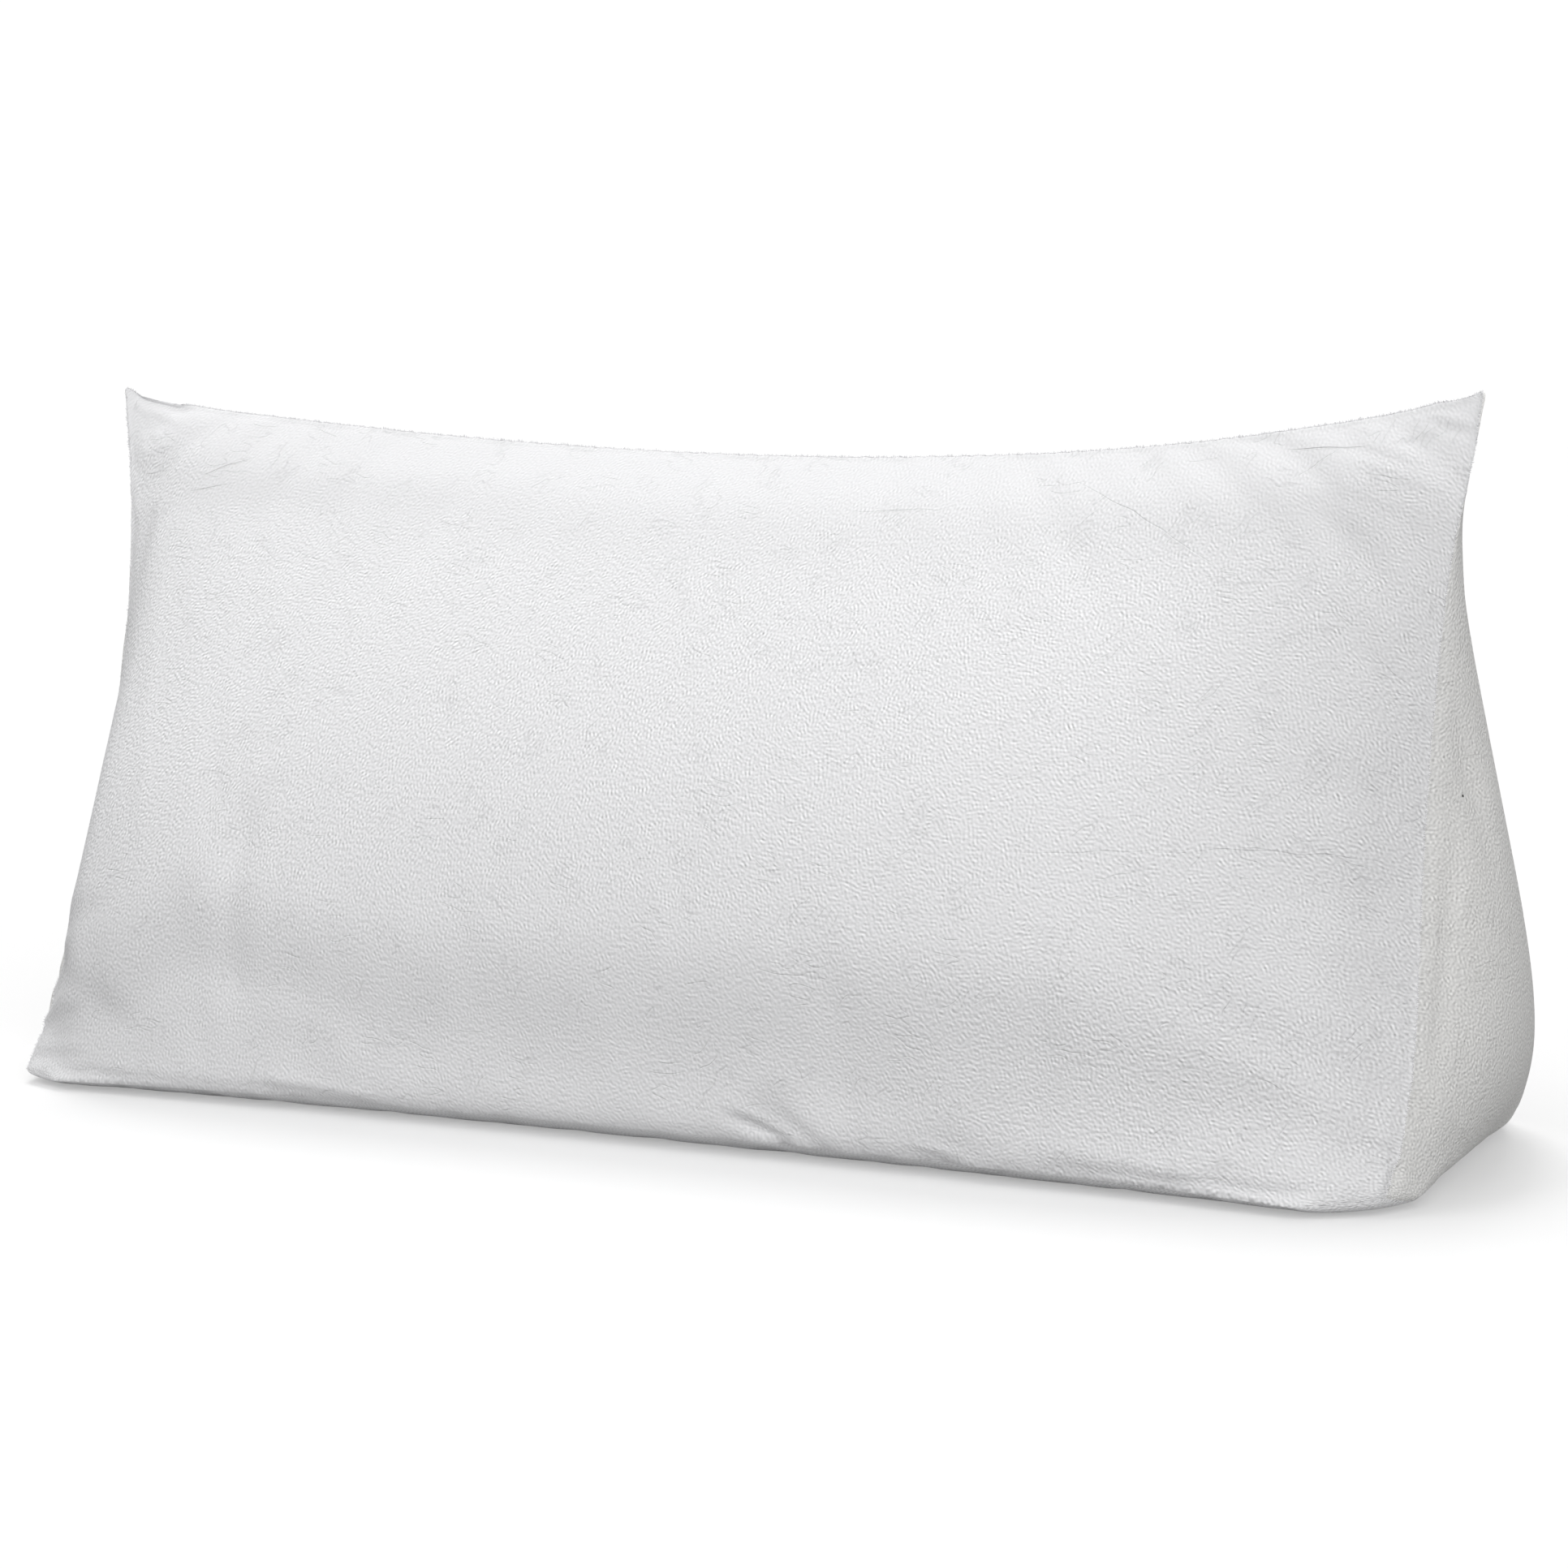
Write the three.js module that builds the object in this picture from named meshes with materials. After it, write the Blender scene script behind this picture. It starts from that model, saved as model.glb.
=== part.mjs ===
// A wedge pillow: a filled cushion with a triangular section, sewn from a front, a back and a
// base panel and two triangular end gussets. It is one closed solid, in millimetres, +Z up, with
// its front towards -Y and its origin on the floor at the middle of its bounding box.
import * as THREE from 'three';
import { mergeVertices } from 'three/addons/utils/BufferGeometryUtils.js';

// Driving dimensions of the sewn outline, seam to seam
const BASE_WIDTH = 1000;
const FRONT_DEPTH = 172; // from the ridge line's datum forward to the front base corners
const BACK_DEPTH = 176; // and back to the rear base corners
const EAR_HEIGHT = 490; // the tips of the two upper corners
const EAR_SPAN = 1006; // from ear tip to ear tip
const EAR_SETBACK = -4; // where the ear tips stand, front to back
const SEAM_HEIGHT = 5; // the base corners are this far above the floor

// The ridge seam sags between the ears, a little more to the left of the middle
const RIDGE = { sag: 38, power: 2.05, skew: 0.27, pushedBack: 12 };

// Each ear rises out of the ridge seam over a short reach, and beside it the seam dips, or is
// held up where the dip is negative
const EARS = [
  { side: 'left', rise: 9, reach: 30, dip: 4, dipAt: 55, dipSpread: 45 },
  { side: 'right', rise: 9, reach: 30, dip: -2.7, dipAt: 95, dipSpread: 60 },
];

// How the filling bends each slanted seam away from the straight line between its base corner
// and its ear: drawn in towards the middle and set in towards the ridge plane, each with the
// height, as a share of the seam, where it does so most
const SLANTED_SEAMS = [
  { side: 'left', face: 'front', drawnIn: 33, drawnInAt: 0.54, setIn: 31, setInAt: 0.22 },
  { side: 'right', face: 'front', drawnIn: 15, drawnInAt: 0.54, setIn: 31, setInAt: 0.22 },
  { side: 'left', face: 'back', drawnIn: 49, drawnInAt: 0.68, setIn: 7, setInAt: 0.35 },
  { side: 'right', face: 'back', drawnIn: 49, drawnInAt: 0.68, setIn: 7, setInAt: 0.35 },
];

// How far each base corner is tucked in under the cushion, along both of its seams
const CORNER_TUCKS = [
  { side: 'left', face: 'front', tuck: 4.5 },
  { side: 'right', face: 'front', tuck: 12 },
  { side: 'left', face: 'back', tuck: 14 },
  { side: 'right', face: 'back', tuck: 14 },
];
const TUCK_HEIGHT = 45; // the tuck fades out over this height
const TUCK_SPREAD = 2.2; // and over this many tucks along the base seams
const TUCK_SPREAD_MIN = 8;

// The base seams bend in between the corners and lift a little off the floor
const BASE_SEAMS = {
  front: { bentIn: 12, lift: 5 },
  back: { bentIn: 14, lift: 5 },
  power: 2.4,
  gussetBulge: -10,
};
const BASE_ROLL = 110; // the base panel comes down to the floor this far inside its seams

// Crowns: how far each filled panel stands out of its seams. Across a panel the crown follows
// (1 - |x|^power)^fullness, and up it the normalised curve t^low * (1 - t)^high. A gusset is
// narrow, so its crown is a plain parabola raised to its fullness.
const CROWNS = {
  front: { height: 84, power: 3.2, fullness: 0.6, low: 0.6, high: 1.15 },
  back: { height: 66, power: 3.2, fullness: 0.6, low: 0.6, high: 1.15 },
  gusset: { height: 46, fullness: 0.7, low: 0.62, high: 1.5 },
};

// The main soft folds. A row gives the panel, which is the front, the back or the right or left
// gusset, the middle of the fold across and up that panel, the angle of its line to the
// horizontal, its length and width, and how deep it dips.
const FOLDS = [
  { panel: 'front', across: -318, up: 186, angle: 78, length: 130, width: 20, depth: 3.2 },
  { panel: 'front', across: -462, up: 74, angle: 44, length: 60, width: 13, depth: 3.5 },
  { panel: 'front', across: -458, up: 34, angle: 28, length: 48, width: 10, depth: 2.6 },
  { panel: 'front', across: 93, up: 22, angle: -22, length: 46, width: 12, depth: 5.0 },
  { panel: 'front', across: 216, up: 16, angle: -6, length: 60, width: 10, depth: 2.4 },
  { panel: 'front', across: 462, up: 462, angle: -38, length: 56, width: 13, depth: 3.0 },
  { panel: 'front', across: -452, up: 458, angle: 30, length: 60, width: 13, depth: 3.6 },
  { panel: 'front', across: 452, up: 240, angle: 8, length: 80, width: 14, depth: 1.8 },
  { panel: 'front', across: 458, up: 176, angle: -8, length: 84, width: 14, depth: 1.8 },
  { panel: 'right', across: -72, up: 190, angle: 84, length: 170, width: 15, depth: 3.0 },
  { panel: 'right', across: -42, up: 246, angle: 80, length: 90, width: 16, depth: 2.5 },
  { panel: 'left', across: 40, up: 150, angle: 60, length: 90, width: 20, depth: 2.5 },
  { panel: 'left', across: -66, up: 200, angle: 82, length: 140, width: 16, depth: 2.5 },
  { panel: 'back', across: 300, up: 180, angle: 100, length: 140, width: 22, depth: 3.0 },
  { panel: 'back', across: -350, up: 210, angle: 74, length: 120, width: 22, depth: 3.0 },
];
const FOLD_FADE = 0.18; // folds fade out where the crown is below this share of its height

// Grid of the panels: columns across, rows up and columns deep, closer together at the seams
const COLUMNS_ACROSS = 72;
const ROWS_UP = 26;
const COLUMNS_DEEP = 12;
const SEAM_CROWDING = 0.7;

const WELD = 0.001; // vertices closer than this are one

const signOf = { left: -1, right: 1 };

function hump(t, low, high) {
  const peak = low / (low + high);
  const top = peak ** low * (1 - peak) ** high;
  return (t ** low * (1 - t) ** high) / top;
}

function humpAt(t, peak) {
  return hump(t, 2 * peak, 2 * (1 - peak));
}

function steps(count) {
  return Array.from({ length: count + 1 }, (_, i) => {
    const even = i / count;
    const crowded = 0.5 - 0.5 * Math.cos(Math.PI * even);
    return even + SEAM_CROWDING * (crowded - even);
  });
}

function rowFor(table, side, face) {
  return table.find((row) => row.side === side && row.face === face);
}

function baseCorner(side, face) {
  const y = face === 'front' ? -FRONT_DEPTH : BACK_DEPTH;
  return new THREE.Vector3((signOf[side] * BASE_WIDTH) / 2, y, SEAM_HEIGHT);
}

function earTip(side) {
  return new THREE.Vector3((signOf[side] * EAR_SPAN) / 2, EAR_SETBACK, EAR_HEIGHT);
}

function tuckAt(side, face, share) {
  const { tuck } = rowFor(CORNER_TUCKS, side, face);
  const inwards = face === 'front' ? 1 : -1;
  return new THREE.Vector3(-signOf[side] * tuck * share, inwards * tuck * share, 0);
}

function fadeAlongBase(side, face, distance) {
  const { tuck } = rowFor(CORNER_TUCKS, side, face);
  return Math.exp(-((distance / (TUCK_SPREAD * tuck + TUCK_SPREAD_MIN)) ** 2));
}

// A slanted seam, from its base corner at t = 0 to its ear tip at t = 1
function slantedSeam(side, face, t) {
  const seam = rowFor(SLANTED_SEAMS, side, face);
  const towardsRidge = face === 'front' ? 1 : -1;
  const point = baseCorner(side, face).lerp(earTip(side), t);
  point.x -= signOf[side] * seam.drawnIn * humpAt(t, seam.drawnInAt);
  point.y += towardsRidge * seam.setIn * humpAt(t, seam.setInAt);
  const share = Math.exp(-(((t * EAR_HEIGHT) / TUCK_HEIGHT) ** 2));
  return point.add(tuckAt(side, face, share));
}

// A long base seam, from the left corner at u = 0 to the right one at u = 1
function longBaseSeam(face, u) {
  const across = 2 * u - 1;
  const middle = 1 - Math.abs(across) ** BASE_SEAMS.power;
  const { bentIn, lift } = BASE_SEAMS[face];
  const towardsRidge = face === 'front' ? 1 : -1;
  const point = baseCorner('left', face).lerp(baseCorner('right', face), u);
  point.y += towardsRidge * bentIn * middle;
  point.z += lift * middle;
  for (const side of ['left', 'right']) {
    const distance = ((1 - signOf[side] * across) * BASE_WIDTH) / 2;
    point.add(tuckAt(side, face, fadeAlongBase(side, face, distance)));
  }
  return point;
}

// A short base seam under a gusset, from the front corner at d = 0 to the back one at d = 1
function shortBaseSeam(side, d) {
  const depth = FRONT_DEPTH + BACK_DEPTH;
  const point = baseCorner(side, 'front').lerp(baseCorner(side, 'back'), d);
  point.x += signOf[side] * BASE_SEAMS.gussetBulge * humpAt(d, 0.5);
  point.add(tuckAt(side, 'front', fadeAlongBase(side, 'front', d * depth)));
  point.add(tuckAt(side, 'back', fadeAlongBase(side, 'back', (1 - d) * depth)));
  return point;
}

// The ridge seam, from the left ear at u = 0 to the right one at u = 1
function ridgeSeam(u) {
  const across = 2 * u - 1;
  const middle = 1 - Math.abs(across) ** RIDGE.power;
  const lean = RIDGE.skew * across * (1 - across * across);
  const point = new THREE.Vector3((across * EAR_SPAN) / 2, EAR_SETBACK, EAR_HEIGHT);
  point.y += RIDGE.pushedBack * middle;
  point.z -= RIDGE.sag * (middle + lean);
  const ear = EARS.find((row) => row.side === (across < 0 ? 'left' : 'right'));
  const fromTip = ((1 - Math.abs(across)) * EAR_SPAN) / 2;
  point.z -= ear.rise * (1 - Math.exp(-fromTip / ear.reach));
  point.z -= ear.dip * Math.exp(-(((fromTip - ear.dipAt) / ear.dipSpread) ** 2)) * middle;
  return point;
}

// A smooth patch between four seams that meet at its corners
function patch(bottom, top, left, right, u, v) {
  const point = new THREE.Vector3();
  const add = (seamPoint, weight) => point.addScaledVector(seamPoint, weight);
  add(bottom(u), 1 - v);
  add(top(u), v);
  add(left(v), 1 - u);
  add(right(v), u);
  add(bottom(0), -(1 - u) * (1 - v));
  add(bottom(1), -u * (1 - v));
  add(top(0), -(1 - u) * v);
  add(top(1), -u * v);
  return point;
}

// How far the soft folds of a panel dip at a point, given across and up the panel
function foldDip(panel, across, up, crownShare) {
  let dip = 0;
  for (const fold of FOLDS.filter((row) => row.panel === panel)) {
    const angle = THREE.MathUtils.degToRad(fold.angle);
    const dx = across - fold.across;
    const dz = up - fold.up;
    const along = dx * Math.cos(angle) + dz * Math.sin(angle);
    const beside = dz * Math.cos(angle) - dx * Math.sin(angle);
    const lengthShare = along / (fold.length / 2);
    const widthShare = beside / fold.width;
    dip += fold.depth * Math.exp(-(lengthShare ** 2) - widthShare ** 2);
  }
  return dip * THREE.MathUtils.smoothstep(crownShare, 0, FOLD_FADE);
}

// A slanted panel, u from left to right and v from the base seam to the ridge
function slantedPanel(face) {
  const depth = face === 'front' ? FRONT_DEPTH : BACK_DEPTH;
  const outwards = face === 'front' ? -1 : 1;
  const normal = new THREE.Vector3(0, outwards * EAR_HEIGHT, depth).normalize();
  const crown = CROWNS[face];
  return (u, v) => {
    const point = patch(
      (s) => longBaseSeam(face, s),
      ridgeSeam,
      (t) => slantedSeam('left', face, t),
      (t) => slantedSeam('right', face, t),
      u,
      v,
    );
    const across = (1 - Math.abs(2 * u - 1) ** crown.power) ** crown.fullness;
    const share = across * hump(v, crown.low, crown.high);
    const dip = foldDip(face, point.x, point.z, share);
    return point.addScaledVector(normal, crown.height * share - dip);
  };
}

// An end gusset, d from the front seam to the back one and v from the base seam to the ear
function gusset(side) {
  const crown = CROWNS.gusset;
  return (d, v) => {
    const point = slantedSeam(side, 'front', v).lerp(slantedSeam(side, 'back', v), d);
    const straightBase = slantedSeam(side, 'front', 0).lerp(slantedSeam(side, 'back', 0), d);
    const tuckShare = (1 - v) * Math.exp(-(((v * EAR_HEIGHT) / TUCK_HEIGHT) ** 2));
    point.addScaledVector(shortBaseSeam(side, d).sub(straightBase), tuckShare);
    const share = (4 * d * (1 - d)) ** crown.fullness * hump(v, crown.low, crown.high);
    const dip = foldDip(side, point.y, point.z, share);
    point.x += signOf[side] * (crown.height * share - dip);
    return point;
  };
}

// The base panel, u from left to right and d from front to back, flat on the floor inside
function basePanel(u, d) {
  const point = patch(
    (s) => longBaseSeam('front', s),
    (s) => longBaseSeam('back', s),
    (t) => shortBaseSeam('left', t),
    (t) => shortBaseSeam('right', t),
    u,
    d,
  );
  const roll = (distance) => (1 - Math.min(1, distance / BASE_ROLL)) ** 2;
  const fromEnds = roll(Math.min(u, 1 - u) * BASE_WIDTH);
  const fromLongSeams = roll(Math.min(d, 1 - d) * (FRONT_DEPTH + BACK_DEPTH));
  point.z *= 1 - (1 - fromEnds) * (1 - fromLongSeams);
  return point;
}

// Adds a panel's grid to the triangles, facing out either as its two directions turn or flipped
function addPanel(triangles, surface, acrossSteps, upSteps, flipped) {
  const grid = acrossSteps.map((a) => upSteps.map((b) => surface(a, b)));
  for (let i = 0; i + 1 < grid.length; i += 1) {
    for (let j = 0; j + 1 < upSteps.length; j += 1) {
      const corners = [grid[i][j], grid[i + 1][j], grid[i + 1][j + 1], grid[i][j + 1]];
      if (flipped) corners.reverse();
      const [a, b, c, d] = corners;
      triangles.push([a, b, c], [a, c, d]);
    }
  }
}

function cushionGeometry() {
  const across = steps(COLUMNS_ACROSS);
  const up = steps(ROWS_UP);
  const deep = steps(COLUMNS_DEEP);
  const triangles = [];
  addPanel(triangles, slantedPanel('front'), across, up, false);
  addPanel(triangles, slantedPanel('back'), across, up, true);
  addPanel(triangles, basePanel, across, deep, true);
  addPanel(triangles, gusset('right'), deep, up, false);
  addPanel(triangles, gusset('left'), deep, up, true);

  const positions = triangles.flat().flatMap((point) => point.toArray());
  const loose = new THREE.BufferGeometry();
  loose.setAttribute('position', new THREE.Float32BufferAttribute(positions, 3));
  const welded = mergeVertices(loose, WELD);

  // The gussets narrow to a point at the ears, where some triangles close up to nothing
  const kept = [];
  const index = welded.getIndex().array;
  for (let i = 0; i < index.length; i += 3) {
    const [a, b, c] = index.slice(i, i + 3);
    if (a !== b && b !== c && c !== a) kept.push(a, b, c);
  }
  welded.setIndex(kept);

  welded.computeBoundingBox();
  const middle = welded.boundingBox.getCenter(new THREE.Vector3());
  welded.translate(-middle.x, -middle.y, -welded.boundingBox.min.z);
  welded.computeVertexNormals();
  return welded;
}

function plushMaterial() {
  return new THREE.MeshStandardMaterial({ color: 0xf1f1f2, roughness: 0.95, metalness: 0 });
}

const pillow = new THREE.Group();
const cushion = new THREE.Mesh(cushionGeometry(), plushMaterial());
cushion.name = 'wedge_cushion';
pillow.add(cushion);

export default pillow;
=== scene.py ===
# %% [markdown]
# # A wedge pillow in white plush
#
# The pillow is a filled cushion with a triangular section. A maker cuts five panels from plush, a
# cloth with a short pile: a front, a back, a base and two end gussets. They are sewn into a closed
# cover, which is then filled until the panels stand out as crowns between their seams.
#
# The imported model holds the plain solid. This lesson dresses it: it drapes the five panels between
# their seams, lets the filling press on them in a short cloth simulation, adds seams, puckers and
# creases, and brushes the pile in a material.

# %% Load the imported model
import math

import bmesh
import bpy
import numpy as np
from mathutils import Matrix, Vector, noise
from mathutils.bvhtree import BVHTree
from mathutils.interpolate import poly_3d_calc
from mathutils.kdtree import KDTree


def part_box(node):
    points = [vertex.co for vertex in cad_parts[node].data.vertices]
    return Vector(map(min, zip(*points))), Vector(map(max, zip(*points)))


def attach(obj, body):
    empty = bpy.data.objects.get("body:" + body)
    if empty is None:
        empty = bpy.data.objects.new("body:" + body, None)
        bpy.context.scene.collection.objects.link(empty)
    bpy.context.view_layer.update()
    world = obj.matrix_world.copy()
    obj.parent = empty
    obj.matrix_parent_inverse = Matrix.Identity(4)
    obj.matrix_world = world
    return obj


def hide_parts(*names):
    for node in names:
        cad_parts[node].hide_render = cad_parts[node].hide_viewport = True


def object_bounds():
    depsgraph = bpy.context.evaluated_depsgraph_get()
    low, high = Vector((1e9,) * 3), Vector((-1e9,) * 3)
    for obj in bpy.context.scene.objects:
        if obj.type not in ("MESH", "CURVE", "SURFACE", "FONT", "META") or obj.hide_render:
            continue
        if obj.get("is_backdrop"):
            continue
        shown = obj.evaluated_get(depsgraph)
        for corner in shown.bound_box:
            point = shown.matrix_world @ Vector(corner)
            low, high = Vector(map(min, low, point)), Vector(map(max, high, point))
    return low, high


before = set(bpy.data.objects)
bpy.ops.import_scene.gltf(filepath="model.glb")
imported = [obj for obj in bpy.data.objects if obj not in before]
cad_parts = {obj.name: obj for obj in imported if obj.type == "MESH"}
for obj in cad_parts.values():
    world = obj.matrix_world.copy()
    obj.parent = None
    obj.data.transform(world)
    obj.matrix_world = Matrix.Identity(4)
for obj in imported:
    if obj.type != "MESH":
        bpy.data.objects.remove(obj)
NODE = "wedge_cushion"
BODY = "root"
MM = 0.001
cad_box = [list(corner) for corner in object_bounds()]
node_low, node_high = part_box(NODE)
print("the packed cushion measures", [round(side, 3) for side in node_high - node_low], "m")

# %% [markdown]
# ## The camera
#
# A product photo is taken with a long lens from a little above. The focal length and the place
# come from fitting the pillow's outline, so they are given the way such a fit gives them: an
# angle round the pillow, an angle above the floor, a distance, and the point aimed at. Blender
# wants a rotation matrix instead, whose columns are the camera's right, up and back directions.

# %% Stand the camera in front
IMAGE_SIDE_PX = 1932
FOCAL_LENGTH_PX = 4200
SENSOR_WIDTH_MM = 36.0
CAMERA_AZIMUTH = math.radians(24.92)
CAMERA_ELEVATION = math.radians(6.64)
CAMERA_DISTANCE = 2.308
CAMERA_AIM = Vector((0.0250, -0.0089, 0.2217))


def add_object(name, data):
    """A new object in the scene that holds this data."""
    made = bpy.data.objects.new(name, data)
    bpy.context.scene.collection.objects.link(made)
    return made


def make_camera():
    """A camera turned and tilted by the two angles, at its distance from the aim."""
    level = math.cos(CAMERA_ELEVATION)
    back = Vector((
        math.sin(CAMERA_AZIMUTH) * level,
        -math.cos(CAMERA_AZIMUTH) * level,
        math.sin(CAMERA_ELEVATION),
    ))
    right = Vector((math.cos(CAMERA_AZIMUTH), math.sin(CAMERA_AZIMUTH), 0))
    up = back.cross(right)
    lens = bpy.data.cameras.new("camera")
    lens.sensor_width = SENSOR_WIDTH_MM
    lens.lens = FOCAL_LENGTH_PX * SENSOR_WIDTH_MM / IMAGE_SIDE_PX
    camera = add_object("camera", lens)
    camera.matrix_world = Matrix((right, up, back)).transposed().to_4x4()
    camera.matrix_world.translation = CAMERA_AIM + back * CAMERA_DISTANCE
    bpy.context.scene.camera = camera
    return camera


camera = make_camera()
print("the lens is", round(camera.data.lens, 1), "mm")

# %% [markdown]
# ## The seams
#
# Everything hangs on the seams: once they are right, the outline is right. Each one is a straight
# line between two corners, bent by a few named amounts, in millimetres. The filling draws the
# slanted seams in, the ridge seam sags between two ears, and the base corners are tucked under.
#
# `hump` is the one curve used all over. It is 0 at both ends of a seam and 1 at its peak, and its
# two powers say how steeply it rises and falls.

# %% Sizes of the sewn outline
BASE_WIDTH = 1000
DEPTH = {"front": 172, "back": 176}
EAR_HEIGHT = 490
EAR_SPAN = 1006
EAR_SETBACK = -4
SEAM_HEIGHT = 5

RIDGE = {"sag": 38, "power": 2.05, "skew": 0.27, "pushed_back": 12}
EARS = {
    "left": {"rise": 9, "reach": 30, "dip": 4, "dip_at": 55, "dip_spread": 45},
    "right": {"rise": 9, "reach": 30, "dip": -2.7, "dip_at": 95, "dip_spread": 60},
}
SLANTED_SEAMS = {
    ("left", "front"): {"drawn_in": 33, "drawn_at": 0.54, "set_in": 31, "set_at": 0.22, "tuck": 4.5},
    ("right", "front"): {"drawn_in": 15, "drawn_at": 0.54, "set_in": 31, "set_at": 0.22, "tuck": 12},
}
for side in ("left", "right"):
    SLANTED_SEAMS[side, "back"] = {
        "drawn_in": 49, "drawn_at": 0.68, "set_in": 7, "set_at": 0.35, "tuck": 14,
    }
TUCK_HEIGHT = 45
TUCK_SPREAD = 2.2
TUCK_SPREAD_MIN = 8
BASE_SEAMS = {"front": {"bent_in": 12, "lift": 11}, "back": {"bent_in": 14, "lift": 5}}
BASE_SEAM_POWER = 2.4
GUSSET_BASE_BULGE = -10

SIDES = {"left": -1, "right": 1}
TOWARDS_RIDGE = {"front": 1, "back": -1}


def hump(t, low, high):
    """A curve from 0 to 1 and back to 0, with its peak at low / (low + high)."""
    peak = low / (low + high)
    return t**low * (1 - t) ** high / (peak**low * (1 - peak) ** high)


def hump_at(t, peak):
    """The plain hump with its peak at that share of the way."""
    return hump(t, 2 * peak, 2 * (1 - peak))


def falloff(distance, width):
    """1 at no distance, falling away to about a third at that width."""
    return np.exp(-((distance / width) ** 2))


def between(start, end, t):
    """Points on the straight line from start to end, one for each share t."""
    return np.outer(1 - t, start) + np.outer(t, end)


# %% Draw each kind of seam
def base_corner(side, face):
    depth = -TOWARDS_RIDGE[face] * DEPTH[face]
    return np.array([SIDES[side] * BASE_WIDTH / 2, depth, SEAM_HEIGHT])


def ear_tip(side):
    return np.array([SIDES[side] * EAR_SPAN / 2, EAR_SETBACK, EAR_HEIGHT])


def tuck(side, face, share):
    """How far a corner's tuck moves points that feel this share of it."""
    direction = np.array([-SIDES[side], TOWARDS_RIDGE[face], 0])
    return np.outer(share, SLANTED_SEAMS[side, face]["tuck"] * direction)


def tuck_along_base(side, face, distance):
    spread = TUCK_SPREAD * SLANTED_SEAMS[side, face]["tuck"] + TUCK_SPREAD_MIN
    return tuck(side, face, falloff(distance, spread))


def slanted_seam(side, face, t):
    """From the base corner at t = 0 to the ear tip at t = 1."""
    seam = SLANTED_SEAMS[side, face]
    points = between(base_corner(side, face), ear_tip(side), t)
    points[:, 0] -= SIDES[side] * seam["drawn_in"] * hump_at(t, seam["drawn_at"])
    points[:, 1] += TOWARDS_RIDGE[face] * seam["set_in"] * hump_at(t, seam["set_at"])
    return points + tuck(side, face, falloff(t * EAR_HEIGHT, TUCK_HEIGHT))


def long_base_seam(face, u):
    """From the left base corner at u = 0 to the right one at u = 1."""
    across = 2 * u - 1
    middle = 1 - np.abs(across) ** BASE_SEAM_POWER
    points = between(base_corner("left", face), base_corner("right", face), u)
    points[:, 1] += TOWARDS_RIDGE[face] * BASE_SEAMS[face]["bent_in"] * middle
    points[:, 2] += BASE_SEAMS[face]["lift"] * middle
    for side, sign in SIDES.items():
        points += tuck_along_base(side, face, (1 - sign * across) * BASE_WIDTH / 2)
    return points


def short_base_seam(side, d):
    """From the front base corner at d = 0 to the back one at d = 1."""
    depth = sum(DEPTH.values())
    points = between(base_corner(side, "front"), base_corner(side, "back"), d)
    points[:, 0] += SIDES[side] * GUSSET_BASE_BULGE * hump_at(d, 0.5)
    points += tuck_along_base(side, "front", d * depth)
    points += tuck_along_base(side, "back", (1 - d) * depth)
    return points


def ridge_seam(u):
    """From the left ear at u = 0, sagging, to the right ear at u = 1."""
    across = 2 * u - 1
    middle = 1 - np.abs(across) ** RIDGE["power"]
    lean = RIDGE["skew"] * across * (1 - across * across)
    points = between(ear_tip("left"), ear_tip("right"), u)
    points[:, 1] += RIDGE["pushed_back"] * middle
    points[:, 2] -= RIDGE["sag"] * (middle + lean)
    from_tip = (1 - np.abs(across)) * EAR_SPAN / 2
    for side, ear in EARS.items():
        half = (across < 0) if side == "left" else (across >= 0)
        dip = falloff(from_tip - ear["dip_at"], ear["dip_spread"]) * middle
        fall = ear["rise"] * (1 - np.exp(-from_tip / ear["reach"])) + ear["dip"] * dip
        points[:, 2] -= np.where(half, fall, 0)
    return points


print("the front's slanted seams are set in by", SLANTED_SEAMS["left", "front"]["set_in"], "mm")

# %% [markdown]
# ## The panels
#
# A Coons patch is a surface that runs smoothly between four edge curves. Each panel is such a
# patch between its seams, pushed out by a crown, the way a filled panel stands out of its seams.
# The tables give the crowns and the main soft folds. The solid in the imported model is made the
# same way on a coarser grid, so the two agree. A few things follow the photo more closely here:
# the front rolls under in a tighter curve, and the folds by the ears sit a little lower.

# %% Crowns and main folds
CROWN_HEIGHTS = {"front": 84, "back": 66, "left": 46, "right": 46}
SLANTED_CROWN = {"power": 3.2, "fullness": 0.6, "low": 0.6, "high": 1.15}
GUSSET_CROWN = {"fullness": 0.7, "low": 0.62, "high": 1.5}
BASE_ROLL = 42
ACROSS_AXIS = {"front": 0, "back": 0, "base": 0, "left": 1, "right": 1}

# Each fold's place across and up, its angle in degrees, its length, width and depth
FOLDS = {
    "front": (
        (-318, 186, 78, 130, 20, 3.2),
        (-462, 74, 44, 60, 13, 3.5),
        (-458, 34, 28, 48, 10, 2.6),
        (93, 22, -22, 46, 12, 5.0),
        (216, 16, -6, 60, 10, 2.4),
        (477, 453, -42, 50, 12, 2.8),
        (-462, 466, 24, 50, 11, 2.4),
        (452, 240, 8, 80, 14, 1.8),
        (458, 176, -8, 84, 14, 1.8),
    ),
    "right": ((-72, 190, 84, 170, 15, 3.0), (-42, 246, 80, 90, 16, 2.5)),
    "left": ((40, 150, 60, 90, 20, 2.5), (-66, 200, 82, 140, 16, 2.5)),
    "back": ((300, 180, 100, 140, 22, 3.0), (-350, 210, 74, 120, 22, 3.0)),
}
FOLD_FADE = 0.18


def smoothstep(x, low, high):
    t = np.clip((x - low) / (high - low), 0, 1)
    return t * t * (3 - 2 * t)


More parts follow.
